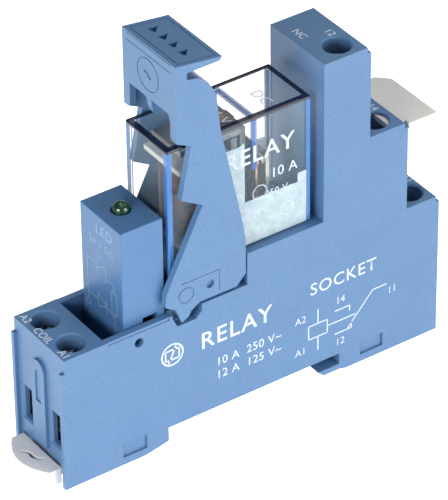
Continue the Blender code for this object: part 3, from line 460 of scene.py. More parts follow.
# %% Socket details
HALF_WIDTH = (socket_high.y - socket_low.y) / 2 / MM
screw_places = {
    key: [(a + b) / 2 for a, b in zip(*bench_box(f"screw_{key}"))]
    for key in ("a1", "a2", "12", "14", "11")
}
terminal_tops = {"a1": 27.0, "a2": 27.0, "12": 65.3, "14": 47.0, "11": 28.9}
print("screws:", {k: [round(v, 1) for v in p] for k, p in screw_places.items()})


def shaft_chamfer(key, radius=2.5, flare=0.35):
    """A cone that breaks the sharp mouth of a screw shaft. It starts a little inside the shaft,
    so that no corner of the cone lies on a corner of the shaft."""
    x, y, _ = screw_places[key]
    top = terminal_tops[key]
    low = [at(x + u, y + v, top - flare) for u, v in ring_points(radius - 0.11, 46)]
    high = [at(x + u, y + v, top + flare) for u, v in ring_points(radius + 2 * flare, 46)]
    return tapered("chamfer", low, high)


WIRE_HOLE_MIDDLE = 4.35


def wire_funnel(side, z0=7.09, z1=13.81, half=1.36, lead=0.5):
    """The tapered mouth of a coil wire hole, on the end face."""
    middle = side * WIRE_HOLE_MIDDLE
    inner = [(middle - half, z0), (middle + half, z0), (middle + half, z1), (middle - half, z1)]
    outer = [
        (y + math.copysign(lead, y - middle), z + (lead if z == z1 else -lead)) for y, z in inner
    ]
    inside, outside = ([at(x, y, z) for y, z in rim] for x, rim in ((1.22, inner), (0.55, outer)))
    return tapered("funnel", inside, outside)


def rib_panel(half=0.75, foot=14.0, spring=19.9):
    """The narrow sunk panel with an arched top, in the rib of the end face."""
    outline = [(-half, foot), (half, foot)] + arc_points(half, 10, math.pi, 0.0, spring)
    outline += [(-half, spring)]
    return pushed("panel", [at(-0.5, y, z) for y, z in outline], Vector((0.85 * MM, 0, 0)))


def wall_ledge(side, start=9.4, end=21.8, foot=26.35, depth=0.12):
    """A hairline step along the top of the side wall."""
    y0, y1 = sorted((side * (HALF_WIDTH - depth), side * (HALF_WIDTH + 1)))
    return block(start, end, y0, y1, foot, 28)


socket_body = cad_copy("socket_housing", "socket_body")
carve(socket_body, *(shaft_chamfer(key) for key in terminal_tops))
carve(socket_body, wire_funnel(-1), wire_funnel(1), rib_panel(), wall_ledge(-1), wall_ledge(1))
round_edges(socket_body, 0.16)
stand_for(socket_body, "socket_housing", socket_plastic)

# %% [markdown]
# ## The two cover plates
# Two plates close the socket from below and snap into its side walls. They are the same nylon
# in a slightly deeper shade, and rounding their edges is all they need.

# %% Cover plates
for plate_node, plate_name in (("base_cover", "seat_plate"), ("foot_cover", "foot_plate")):
    rounded_copy(plate_node, plate_name, 0.12, base_plastic)

# %% [markdown]
# ## The release lever
# The lever is a bridge of two side plates joined by a grip. On its grip are four wedge-shaped
# pockets in a row and a fine border, which make it easy to push, and on its front is a round
# sunk mark. The pockets repeat, so a small Geometry Nodes tree lays out the wedges on a line of
# points, and the result is one cutter for a Boolean. Inputs for the count, start and pitch make
# the row easy to change.


# %% A row of wedges with Geometry Nodes
def wired_tree(name, inputs, parts, wires):
    """A Geometry Nodes tree from its named inputs, its nodes and the wires between them. Each
    wire is "node.socket > node.socket". Returns the tree and each input's identifier."""
    tree = bpy.data.node_groups.new(name, "GeometryNodeTree")
    for way in ("INPUT", "OUTPUT"):
        tree.interface.new_socket("Geometry", in_out=way, socket_type="NodeSocketGeometry")
    ids = {}
    for label, (kind, default) in {**inputs, "Material": ("Material", None)}.items():
        entry = tree.interface.new_socket(
            label, in_out="INPUT", socket_type=f"NodeSocket{kind}"
        )
        if default is not None:
            entry.default_value = default
        ids[label] = entry.identifier
    nodes = {"in": tree.nodes.new("NodeGroupInput"), "out": tree.nodes.new("NodeGroupOutput")}
    for key, kind in {**parts, "real": "RealizeInstances", "paint": "SetMaterial"}.items():
        nodes[key] = tree.nodes.new(f"GeometryNode{kind}")
    ends = ["real.Geometry > paint.Geometry", "in.Material > paint.Material"]
    for wire in wires + ends + ["paint.Geometry > out.Geometry"]:
        (start, source), (end, target) = (side.split(".") for side in wire.split(" > "))
        tree.links.new(nodes[start].outputs[source], nodes[end].inputs[target])
    return tree, ids, nodes


def grow(piece, tree, ids, values):
    """Runs a tree on a piece, with each input set by its identifier, and keeps the mesh."""
    modifier = piece.modifiers.new(tree.name, "NODES")
    modifier.node_group = tree
    for label, value in values.items():
        modifier[ids[label]] = value
    return settle(piece)


wedge_row, wedge_ids, row_nodes = wired_tree(
    "wedge_row",
    {"Count": ("Int", 4), "Start": ("Vector", (0, 0, 0)), "Pitch": ("Vector", (0, 0.002, 0))},
    {"line": "MeshLine", "spread": "InstanceOnPoints"},
    [
        "in.Count > line.Count", "in.Start > line.Start Location", "in.Pitch > line.Offset",
        "line.Mesh > spread.Points", "in.Geometry > spread.Instance",
        "spread.Instances > real.Geometry",
    ],
)
row_nodes["line"].mode = "OFFSET"
print("inputs of the wedge row:", list(wedge_ids))

# %% [markdown]
# ## The pockets in the grip
# One wedge is made from listed corners, and the tree copies it across the grip. The grip slopes,
# so the wedge's corners follow its height, and a front edge deeper than the back one catches a
# finger.

# %% Wedge cutter
LEVER_FRONT = 24.0
GRIP_LENGTH = 9.2
GRIP_FALL = 1.2
POCKET_START = 27.3
lever_top = bench_box("release_lever")[1].z


def grip_height(x):
    """The height of the sloping grip over the bench."""
    return lever_top - (x - LEVER_FRONT) * (GRIP_FALL / GRIP_LENGTH)


def grip_wedge():
    """One pocket: a triangle in plan, deepest at its far edge, about the bench zero."""
    top = [(-0.2, 1.0), (2.4, 1.0), (0.5, -1.0)]
    low = [(0.3, 0.95), (1.7, 0.95), (0.5, 0.1)]
    x = POCKET_START
    corners = [at(x + u, v, grip_height(x + u) + 0.3) for u, v in top]
    deep = [at(x + u, v, grip_height(x + u) - 0.95) for u, v in low]
    return tapered("wedge", deep, corners)


WEDGE_PITCH = 2.9
wedges = grow(grip_wedge(), wedge_row, wedge_ids, {
    "Count": 4,
    "Start": (0.0, -1.5 * WEDGE_PITCH * MM, 0.0),
    "Pitch": (0.0, WEDGE_PITCH * MM, 0.0),
    "Material": lever_plastic,
})
print("wedge cutter:", len(wedges.data.polygons), "faces")

# %% [markdown]
# ## Marks sunk in the lever
# Each mark is a shallow groove. A ring is an annulus pushed into the face, and a wave or a line
# is a ribbon with its own width. They could be printed or bumped, but cut grooves hold a shadow
# from every side. All but the blind hole are 0.12 to 0.15 mm deep.


# %% Grooves
def ribbon_outline(path, width):
    """The outline of a line of that width along a path in the plane."""
    left, right = [], []
    for i, (x, y) in enumerate(path):
        before, after = path[max(i - 1, 0)], path[min(i + 1, len(path) - 1)]
        along = Vector((after[0] - before[0], after[1] - before[1])).normalized()
        left.append((x - along.y * width / 2, y + along.x * width / 2))
        right.append((x + along.y * width / 2, y - along.x * width / 2))
    return left + right[::-1]


def ring_cutter(point, push, radius, width, count=56):
    """An annular cutter. point turns plane places into space, push gives its direction."""
    outer = pushed("ring", [point(*p) for p in ring_points(radius + width / 2, count)], push)
    inner = pushed(
        "core", [point(*p) - push * 0.5 for p in ring_points(radius - width / 2, count)], push * 2
    )
    return carve(outer, inner)


ROUND_MARK = (0.35, 70.4)
PIVOT = (25.28, 30.1)


def on_front(y, z):
    """A place on the lever's front face, from the middle of the round mark."""
    return at(LEVER_FRONT - 0.5, ROUND_MARK[0] - y, ROUND_MARK[1] + z)


GROOVE = Vector((0.65 * MM, 0, 0))
wave = [(-1.05 + 0.15 * i, 0.5 * math.sin(2 * math.pi * i / 14)) for i in range(15)]
front_cutters = [
    ring_cutter(on_front, GROOVE, 3.05, 0.22),
    pushed("wave", [on_front(u, v) for u, v in ribbon_outline(wave, 0.42)], GROOVE),
    pushed(
        "line",
        [on_front(u, v) for u, v in ((-6.3, 3.72), (6.6, 3.72), (6.6, 3.86), (-6.3, 3.86))],
        GROOVE,
    ),
]


def grip_border(width=0.16, inset=0.75):
    """A fine groove round the grip, along the slope."""
    x0, x1, y = LEVER_FRONT + 0.9, LEVER_FRONT + GRIP_LENGTH - inset, HALF_WIDTH - inset
    strips = [(x0, x0 + width, -y, y), (x1 - width, x1, -y, y)]
    strips += [(x0, x1, -y, width - y), (x0, x1, y - width, y)]
    cutters = []
    for a, b, c, d in strips:
        corners = [(a, c), (b, c), (b, d), (a, d)]
        low = [at(u, v, grip_height(u) - 0.12) for u, v in corners]
        cutters.append(pushed("border", low, Vector((0, 0, 0.6 * MM))))
    return cutters


def side_marks(side):
    """On a side plate: a pivot boss ring, a small blind hole and a sunk field round them."""
    push = Vector((0, -side * 0.6 * MM, 0))

    def on_side(u, v):
        return at(PIVOT[0] + u, side * (HALF_WIDTH + 0.48), PIVOT[1] + v)

    ring = ring_cutter(on_side, push, 1.5, 0.2, 40)
    hole = pushed("hole", [on_side(4.9 + u, 0.3 + v) for u, v in ring_points(0.8, 28)], push * 1.6)
    line = [(-1.0, 2.55), (6.8, 2.55), (6.8, -1.7)]
    field = pushed("field", [on_side(u, v) for u, v in ribbon_outline(line, 0.14)], push)
    return [ring, hole, field]


release_grip = cad_copy("release_lever", "release_grip")
carve(release_grip, wedges, *front_cutters, *grip_border(), *side_marks(-1), *side_marks(1))
round_edges(release_grip, 0.2)
stand_for(release_grip, "release_lever", lever_plastic)

# %% [markdown]
# ## Rail foot and marker tag
# The white foot slides under the rail and has a bent screwdriver slot. Its deep slot falls into
# shade and looks black, so a thin near-black sheet on the slot's floor is painted shade. The
# marker tag is a plain white plate.

# %% Rail foot and tag
rounded_copy("rail_clip", "rail_foot", 0.25, foot_nylon, 3)
rounded_copy("marker_tag", "tag_plate", 0.18, tag_nylon)

# Painted shade: a near-black sheet on the floor of the foot's slot stands for the shadow inside
# it.
shadow_black, _ = two_toned("shadow_black", 0.5, chip(20, 21, 24), chip(34, 35, 38), 0.6)
STEPS = 14
slot_line = [(-3.0 + 2.4 * i / STEPS, 2.1 - 4.2 * i / STEPS) for i in range(STEPS + 1)]
slot_wave = [0.45 * math.sin(2 * math.pi * i / STEPS) for i in range(STEPS + 1)]
slot_path = [(x + w, y) for (x, y), w in zip(slot_line, slot_wave)]
slot_painted_shade = pushed(
    "foot_slot_painted_shade",
    [at(x, y, 2.35) for x, y in ribbon_outline(slot_path, 0.5)],
    Vector((0, 0, 0.55 * MM)),
)
dress(slot_painted_shade, shadow_black)
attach(slot_painted_shade, "rail_clip")

# %% [markdown]
# ## The indicator module
# A plain blue case with a green lamp in its top. The case needs only its rounded edges. The lamp
# is a cast epoxy dome, so it is turned as a round shape with many steps and given a clear green
# shader that lets light in.

# %% Module case and lamp
rounded_copy("module_housing", "module_case", 0.22, module_plastic, 3)

lens_green, lens_shader = two_toned("lens_green", 1.2, chip(18, 56, 34), chip(38, 88, 58), 0.12)
lens_shader.inputs["Transmission Weight"].default_value = 0.25
lens_shader.inputs["IOR"].default_value = 1.52
lens_shader.inputs["Coat Weight"].default_value = 0.6


def turned(name, rings, middle, count=48):
    """A solid turned round an upright axis from (radius, height) pairs, closed at its ends."""
    builder = bmesh.new()
    x, y = middle
    loops = [
        [builder.verts.new(at(x + u, y + v, z)) for u, v in ring_points(radius, count)]
        for radius, z in rings
    ]
    builder.faces.new(loops[0][::-1])
    builder.faces.new(loops[-1])
    for low, high in zip(loops, loops[1:]):
        for i in range(count):
            j = (i + 1) % count
            builder.faces.new((low[i], low[j], high[j], high[i]))
    bmesh.ops.recalc_face_normals(builder, faces=builder.faces)
    piece = object_from(builder, name)
    for face in piece.data.polygons:
        face.use_smooth = len(face.vertices) == 4
    return piece


lens_low, lens_high = bench_box("led_lens")
lens_middle = ((lens_low.x + lens_high.x) / 2, 0.0)
LENS_RADIUS = 1.55
lens_rings = [(LENS_RADIUS - 0.05, lens_low.z), (LENS_RADIUS, lens_low.z + 0.1)]
lens_rings += arc_points(LENS_RADIUS, 12, math.pi / 2, 0.0, lens_high.z - LENS_RADIUS)
lamp = turned("lamp_dome", lens_rings + [(0.06, lens_high.z)], lens_middle)
stand_for(lamp, "led_lens", lens_green)

# %% [markdown]
# ## Terminal screws
# Each screw has a round head with a slot and a cross, and a threaded shank. The head is turned
# from its profile, with a soft dome and a bevelled rim, and the recess is cut with two crossed
# bars. The thread follows a rule, a helix, so a Geometry Nodes tree winds it: a spiral curve is
# swept with a small ridge profile round the shank. The inputs are the radius, pitch and number
# of turns.


# %% Thread tree
screw_thread, thread_ids, thread_nodes = wired_tree(
    "screw_thread",
    {
        "Radius": ("Float", 0.001), "Turns": ("Float", 10.0), "Height": ("Float", 0.005),
        "Ridge": ("Float", 0.0001), "Place": ("Vector", (0, 0, 0)),
    },
    {
        "spiral": "CurveSpiral", "profile": "CurvePrimitiveCircle",
        "sweep": "CurveToMesh", "shift": "Transform",
    },
    [
        "in.Radius > spiral.Start Radius", "in.Radius > spiral.End Radius",
        "in.Turns > spiral.Rotations", "in.Height > spiral.Height",
        "in.Ridge > profile.Radius", "spiral.Curve > sweep.Curve",
        "profile.Curve > sweep.Profile Curve", "sweep.Mesh > shift.Geometry",
        "in.Place > shift.Translation", "shift.Geometry > real.Geometry",
    ],
)
thread_nodes["spiral"].inputs["Resolution"].default_value = 20
thread_nodes["profile"].inputs["Resolution"].default_value = 5
thread_nodes["sweep"].inputs["Fill Caps"].default_value = True
THREAD_PITCH = 0.5
THREAD_RADIUS = 1.13
RIDGE = 0.12


def thread(name, x, y, z0, z1):
    """The wound ridge of a screw between two heights."""
    ridge = grow(object_from(bmesh.new(), name), screw_thread, thread_ids, {
        "Radius": THREAD_RADIUS * MM,
        "Turns": (z1 - z0) / THREAD_PITCH,
        "Height": (z1 - z0) * MM,
        "Ridge": RIDGE * MM,
        "Place": at(x, y, z0)[:],
        "Material": screw_steel,
    })
    for face in ridge.data.polygons:
        face.use_smooth = True
    return ridge


print("inputs of the thread:", list(thread_ids))

# %% [markdown]
# ## Heads, slots and shanks
# A head could be built from a cylinder with chamfers. Turning it from a profile is chosen,
# because the dome, the rim and the shank come in one go. Each screw stops at its own angle, as
# screws do when somebody has tightened them.


# %% Turned screws
SLOT_ANGLES = {"a1": 0.5, "a2": 1.1, "12": 0.2, "14": 0.9, "11": 1.4}


def terminal_screw(key):
    """A turned head with its recess, the shank and the wound thread."""
    low, high = bench_box(f"screw_{key}")
    x, y, _ = screw_places[key]
    top, foot = high.z, low.z
    under = top - 1.8
    profile = [(0.5, foot), (1.05, foot + 0.5), (1.1, under), (2.0, under), (2.15, under + 0.2)]
    profile += [(2.15, top - 0.45), (2.0, top - 0.18), (1.5, top - 0.04), (0.9, top)]
    head = turned(f"terminal_screw_{key}", profile, (x, y))
    turn = SLOT_ANGLES[key]
    bars = ((turn, 2.4, 0.3, 0.75), (turn + math.pi / 2, 1.35, 0.3, 0.95))
    for angle, length, width, depth in bars:
        cos, sin = math.cos(angle), math.sin(angle)
        bar = [(-length, -width), (length, -width), (length, width), (-length, width)]
        corners = [at(x + u * cos - v * sin, y + u * sin + v * cos, top - depth) for u, v in bar]
        carve(head, pushed("slot", corners, Vector((0, 0, 2 * MM))))
    round_edges(head, 0.05, 2, 40)
    ridge = thread("thread", x, y, foot + 0.6, under - 0.2)
    return join_pieces(f"terminal_screw_{key}", [head, ridge])


for key in terminal_tops:
    screw = terminal_screw(key)
    for face in screw.data.polygons:
        face.use_smooth = True
    screw.data.set_sharp_from_angle(angle=math.radians(35))
    stand_for(screw, f"screw_{key}", screw_steel)

# %% [markdown]
# ## The coil winding
# The coil is some fifty visible turns of enamelled wire side by side, in several layers. Only
# the outer layer shows, so one ring of wire is copied up a line of points. The tree's inputs are
# the count, the pitch, the coil radius and the wire radius. A plain copper core fills the space
# inside the rings, so no light leaks through.


# %% Winding tree
winding, winding_ids, winding_nodes = wired_tree(
    "wire_winding",
    {
        "Turns": ("Int", 40), "Pitch": ("Vector", (0, 0, 0.0003)), "Start": ("Vector", (0, 0, 0)),
        "Coil Radius": ("Float", 0.005), "Wire Radius": ("Float", 0.00015),
    },
    {
        "line": "MeshLine", "loop": "CurvePrimitiveCircle", "wire": "CurvePrimitiveCircle",
        "sweep": "CurveToMesh", "spread": "InstanceOnPoints", "smooth": "SetShadeSmooth",
    },
    [
        "in.Turns > line.Count", "in.Start > line.Start Location", "in.Pitch > line.Offset",
        "in.Coil Radius > loop.Radius", "in.Wire Radius > wire.Radius",
        "loop.Curve > sweep.Curve", "wire.Curve > sweep.Profile Curve",
        "sweep.Mesh > smooth.Geometry", "smooth.Geometry > spread.Instance",
        "line.Mesh > spread.Points", "spread.Instances > real.Geometry",
    ],
)
winding_nodes["line"].mode = "OFFSET"
winding_nodes["loop"].inputs["Resolution"].default_value = 64
winding_nodes["wire"].inputs["Resolution"].default_value = 6
print("inputs of the winding:", list(winding_ids))

# %% [markdown]
# ## Winding the coil
# The wire's enamel is dark red-brown and uneven, and half metallic, because copper shines
# through it. The frame's winding gives the coil's size, and the wire's radius then fixes how many
# turns fit.

# %% Coil
enamel_wire, _ = two_toned(
    "enamel_wire", 1.6, chip(46, 30, 28), chip(132, 78, 52), 0.28, metallic=0.35, detail=3.0
)
coil_low, coil_high = bench_box("coil_winding")
coil_middle = ((coil_low.x + coil_high.x) / 2, 0.0)
coil_radius = (coil_high.x - coil_low.x) / 2
WIRE = 0.13
turns = int((coil_high.z - coil_low.z) / (2 * WIRE))
wires = grow(object_from(bmesh.new(), "winding_turns"), winding, winding_ids, {
    "Turns": turns,
    "Pitch": (0.0, 0.0, 2 * WIRE * MM),
    "Start": at(*coil_middle, coil_low.z + WIRE)[:],
    "Coil Radius": (coil_radius - WIRE) * MM,
    "Wire Radius": WIRE * MM,
    "Material": enamel_wire,
})
inner = coil_radius - 1.4 * WIRE
tube = turned("core", [(inner, coil_low.z + 0.02), (inner, coil_high.z - 0.02)], coil_middle)
carve(tube, turned("bore", [(3.35, coil_low.z - 1), (3.35, coil_high.z + 1)], coil_middle))
coil_turns = join_pieces("coil_turns", [wires, tube])
stand_for(coil_turns, "coil_winding", enamel_wire)
print("winding turns:", turns)

# %% [markdown]
# ## The relay's working parts
# The armature, yoke, blades and terminals already have their true shapes in the frame, and they
# are seen only through the cover. A better metal in place of the plain paint is enough, so these
# solids stay as they are and take a new material.


# %% Finishes on the frame's own solids
def finish_node(node, material):
    dress(frame["nodes"][node], material)


for node in ("relay_base", "coil_bobbin"):
    finish_node(node, coil_nylon)
for node in ("coil_core", "yoke", "armature"):
    finish_node(node, magnet_iron)
for node in ("hinge_spring", "moving_contact"):
    finish_node(node, spring_bronze)
tinned_nodes = ["relay_pin_a1", "relay_pin_a2", "common_terminal", "no_terminal", "nc_terminal"]
tinned_nodes += ["module_pin_a1", "module_pin_a2", "coil_busbar_a1", "coil_busbar_a2"]
tinned_nodes += ["nc_busbar_12", "no_busbar_14", "common_busbar_11"]
for node in tinned_nodes:
    finish_node(node, tinned_copper)
for key in terminal_tops:
    finish_node(f"clamp_{key}", clamp_steel)

black_nylon = moulded_plastic("black_nylon", chip(34, 34, 37), 0.45, 0.12)
board_mask, _ = two_toned("board_mask", 1.5, chip(18, 78, 42), chip(34, 108, 62), 0.35)
resistor_coat, _ = two_toned("resistor_coat", 0.8, chip(176, 150, 112), chip(206, 188, 150), 0.4)
for node in ("actuator_card", "module_base", "diode"):
    finish_node(node, black_nylon)
finish_node("module_board", board_mask)
finish_node("resistor", resistor_coat)
print("finished solids:", len(tinned_nodes) + 13)

# %% [markdown]
# ## The clear relay cover
# The cover is a thin polycarbonate box with a blue tint. Real refraction through thin walls is
# slow and leaves the inside too dark, because light hardly finds its way through two curved
# shells. A see-through surface with a strong reflection looks the same at this thickness and
# lets light in. What makes such a box read as clear plastic is its edges: where the eye looks
# along a wall, the tint adds up to navy at the top rims and to bright blue at the upright
# corners. Those zones follow from each point's distance to the box faces, so the material works
# them out from Object coordinates. The lower part of the long sides is frosted.


# %% Masks from distance
def maths(material, operation, first, second, clamp=False):
    """One Math node. Each input is a socket or a number."""
    node = add_node(material, "ShaderNodeMath", operation=operation, use_clamp=clamp)
    feed(material, node.inputs[0], first)
    feed(material, node.inputs[1], second)
    return node.outputs["Value"]


def below(material, value, limit, softness=0.00008):
    """1 where the value is under the limit, falling softly to 0 above it."""
    room = maths(material, "SUBTRACT", limit, value)
    return maths(material, "DIVIDE", room, softness, clamp=True)


def above(material, value, limit):
    """1 where the value is over the limit."""
    return below(material, maths(material, "MULTIPLY", value, -1.0), -limit)


def combined(material, operation, first, *others):
    """Several values put together with the same operation, one after the other."""
    for other in others:
        first = maths(material, operation, first, other)
    return first


def mixed_value(material, first, second, factor):
    """first where the mask is 0, second where it is 1."""
    span = maths(material, "SUBTRACT", second, first)
    return maths(material, "ADD", first, maths(material, "MULTIPLY", span, factor))


# %% [markdown]
# ## The zones of the cover
# The cover's walls give four distances, one from each pair of ends and sides, one from the top
# and one along the socket. From them come five zones: the rim, the upright corners, the cross
# rib, the stepped frosted part and the clear rest. The frost has an uneven upper edge.


# %% Cover zones
COVER_WALL = 0.62


def cover_zones(material):
    """The masks of the rim, the upright corners, the cross rib and the frosted part."""
    cover_low, cover_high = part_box("relay_cover")
    x, y, z = add_node(
        material, "ShaderNodeSeparateXYZ", Vector=object_place(material)
    ).outputs

    def less(first, second):
        return maths(material, "SUBTRACT", first, second)

    def under(value, limit):
        return below(material, value, limit * MM)

    def over(value, limit):
        return above(material, value, limit * MM)

    def both(*masks):
        return combined(material, "MULTIPLY", *masks)

    from_ends = maths(material, "MINIMUM", less(x, cover_low.x), less(cover_high.x, x))
    from_sides = maths(material, "MINIMUM", less(y, cover_low.y), less(cover_high.y, y))
    from_top = less(cover_high.z, z)
    nearest_wall = maths(material, "MINIMUM", from_ends, from_sides)
    rim = both(under(from_top, 0.55), under(nearest_wall, 1.2))
    upright = under(maths(material, "MAXIMUM", from_ends, from_sides), 1.0)
    from_rib = maths(material, "SUBTRACT", x, 40.65 * MM + bench_zero.x)
    rib = both(under(maths(material, "ABSOLUTE", from_rib, 0.0), 0.5), under(from_top, 10.5))

    wobble = less(object_noise(material, 4.0, 3.0), 0.5)
    height = less(less(z, bench_zero.z), maths(material, "MULTIPLY", wobble, 1.5 * MM))
    along = less(x, bench_zero.x)
    tall = both(under(along, 38.6), under(height, 54.6))
    end = both(over(along, 49.4), under(height, 44.4))
    frost = combined(material, "MAXIMUM", tall, under(height, 42.6), end)
    frost = both(frost, under(from_sides, COVER_WALL), over(along, 32.5))
    plain = maths(material, "SUBTRACT", 1.0, upright, clamp=True)
    return rim, upright, rib, both(frost, plain)


def clear_polycarbonate():
    """A see-through surface, frosted and tinted by the zones."""
    material, shader = principled("clear_polycarbonate", chip(190, 215, 232), 0.05)
    shader.inputs["IOR"].default_value = 1.58
    rim, upright, rib, frost = cover_zones(material)
    patchy = object_noise(material, 1.3, 4.0)
    colour = chip(176, 206, 226)
    alpha = 0.08
    for mask, tint, cover in (
        (frost, tone(material, patchy, chip(166, 190, 200), chip(198, 214, 220)), 0.84),
        (rib, chip(48, 98, 166), 0.80),
        (upright, chip(62, 122, 190), 0.82),
        (rim, chip(8, 18, 52), 0.96),
    ):
        colour = mixed(material, colour, tint, mask)
        alpha = mixed_value(material, alpha, cover, mask)
    link(material, colour, shader.inputs["Base Color"])
    link(material, alpha, shader.inputs["Alpha"])
    link(material, mixed_value(material, 0.04, 0.45, frost), shader.inputs["Roughness"])
    return material


rounded_copy("relay_cover", "relay_case", 0.28, clear_polycarbonate(), 4)

# %% [markdown]
# ## Printed marks
# Print is a film of ink about a hundredth of a millimetre thick. Letters come from Blender's own
# font, turned into a mesh, and line drawings are ribbons. Each is laid on its face by three
# directions: to the right, upwards, and out of the surface. Only plain terminal marks, ratings
# and generic words are used.


# %% Lettering and line drawing
INK = 0.02


def laid_on(mesh, origin, right, up):
    """Lays a flat drawing made in millimetres on a face, a film's thickness above it."""
    out = Vector(right).cross(Vector(up))
    turn = Matrix((right, up, out)).transposed().to_4x4()
    mesh.transform(Matrix.Translation(origin + out * INK * MM) @ turn @ Matrix.Scale(MM, 4))


def lettering(words, height, place, spacing=1.0, bold=0.0):
    """Words as a mesh in the plane, in millimetres, with their middle at the place."""
    curve = bpy.data.curves.new("words", "FONT")
    curve.body = words
    curve.size = height * 1.37
    curve.align_x = "CENTER"
    curve.align_y = "CENTER"
    curve.space_character = spacing
    curve.offset = bold
    curve.resolution_u = 4
    holder = bpy.data.objects.new("words", curve)
    bpy.context.scene.collection.objects.link(holder)
    bpy.context.view_layer.update()
    graph = bpy.context.evaluated_depsgraph_get()
    mesh = bpy.data.meshes.new_from_object(holder.evaluated_get(graph))
    bpy.data.objects.remove(holder, do_unlink=True)
    mesh.transform(Matrix.Translation((*place, 0)))
    return mesh


def strokes(paths, width):
    """Line drawing as ribbons in the plane, in millimetres."""
    builder = bmesh.new()
    for path in paths:
        outline = ribbon_outline(path, width)
        half = len(path)
        verts = [builder.verts.new((*p, 0)) for p in outline]
        for i in range(half - 1):
            a, b = verts[i], verts[i + 1]
            c, d = verts[2 * half - 2 - i], verts[2 * half - 1 - i]
            builder.faces.new((a, d, c, b))
    mesh = bpy.data.meshes.new("strokes")
    builder.to_mesh(mesh)
    builder.free()
    return mesh


def lines(*paths):
    """Splits bent lines into single straight runs."""
    return [[a, b] for path in paths for a, b in zip(path, path[1:])]


def frame_line(x0, y0, x1, y1):
    """The four corners of an upright rectangle, back to the first."""
    return [(x0, y0), (x1, y0), (x1, y1), (x0, y1), (x0, y0)]


def ring(x, y, radius, count=32):
    points = [(x + u, y + v) for u, v in ring_points(radius, count)]
    return [points + points[:1]]


def print_on(name, body, meshes, origin, right, up, ink):
    """Joins flat drawings, lays them on a face and prints them on that body."""
    builder = bmesh.new()
    for mesh in meshes:
        builder.from_mesh(mesh)
        bpy.data.meshes.remove(mesh)
    piece = object_from(builder, name)
    laid_on(piece.data, origin, right, up)
    piece.data.materials.append(ink)
    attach(piece, body)
    return piece


# %% [markdown]
# ## Print on the two sides of the socket
# The side carries a round device, a large word, the contact rating and the wiring diagram: the
# coil between A1 and A2, and a changeover contact from 11 to 12 and 14. The same print is
# repeated on the far side. It could be modelled as raised letters, but pad print is flush, so
# flat pieces lie a hair above the wall.


# %% Side print
FAR_SHIFT = -78.6


def side_print(name, side):
    """The print of a side wall. Its places are bench x and z, seen on the near side."""
    emblem = ring(22.2, 19.0, 2.15)
    emblem += lines(frame_line(20.8, 18.0, 23.6, 20.0), [(21.4, 17.3), (23.0, 20.7)])
    symbol = lines(
        [(52.6, 6.6), (52.6, 9.6)],
        [(52.6, 12.4), (52.6, 15.4)],
        frame_line(50.6, 9.6, 54.6, 12.4),
        [(54.6, 11.0), (60.6, 11.0)],
        [(58.8, 8.4), (64.4, 14.6), (67.4, 14.6)],
        [(56.2, 8.4), (59.8, 8.4), (59.8, 9.8)],
        [(56.2, 13.4), (59.4, 13.4), (59.4, 12.2)],
    )
    meshes = [
        strokes(emblem, 0.34),
        strokes(symbol, 0.26),
        lettering("RELAY", 3.5, (35.4, 18.9), 1.12, 0.05),
        lettering("10 A  250 V~", 1.75, (38.0, 13.3), 1.05, 0.015),
        lettering("12 A  125 V~", 1.75, (38.0, 10.5), 1.05, 0.015),
        lettering("SOCKET", 2.6, (58.0, 20.0), 1.1, 0.02),
        lettering("A2", 1.5, (48.9, 14.4)),
        lettering("A1", 1.5, (48.9, 7.6)),
        lettering("14", 1.5, (57.4, 15.4)),
        lettering("12", 1.5, (57.4, 6.4)),
        lettering("11", 1.5, (68.6, 12.9)),
    ]
    if side > 0:
        for mesh in meshes:
            mesh.transform(Matrix.Translation((FAR_SHIFT, 0, 0)))
    face = at(0, side * HALF_WIDTH, 0)
    return print_on(name, "socket", meshes, face, (-side, 0, 0), (0, 0, 1), white_ink)


for name, side in (("near_side_print", -1), ("far_side_print", 1)):
    print(name, len(side_print(name, side).data.polygons), "faces")

# %% [markdown]
# ## Terminal marks
# Each step of the socket is marked next to its screw. The words read from the far side to the
# near side, so a place on the step is given along the socket and across it.


# %% Marks on the steps
def step_marks(name, z, *words):
    """Words on an upward face, each with its place along and across the socket."""
    meshes = [lettering(text, 1.5, (-across, along), 1.05, 0.03) for text, along, across in words]
    return print_on(name, "socket", meshes, at(0, 0, z), (0, -1, 0), (1, 0, 0), white_ink)


step_marks("coil_marks", 27.0, ("A2", 1.9, 6.0), ("COIL", 1.75, 0.3), ("A1", 1.75, -6.1))
step_marks("nc_marks", 65.3, ("NC", 55.9, 2.4), ("12", 60.3, -0.2))
step_marks("no_marks", 47.0, ("NO", 64.9, 1.4), ("14", 69.2, -0.6))
step_marks("com_marks", 28.9, ("COM", 72.4, 1.6), ("11", 77.0, -0.6))
print("marked steps:", len(set(terminal_tops.values())))

# %% [markdown]
# ## Print on the module
# The module's front shows what is inside it: a lamp with its resistor, and a diode the other way
# round, between the two coil terminals. Its ink is paler and its lines are thin, so it stays
# quieter than the print on the sides.


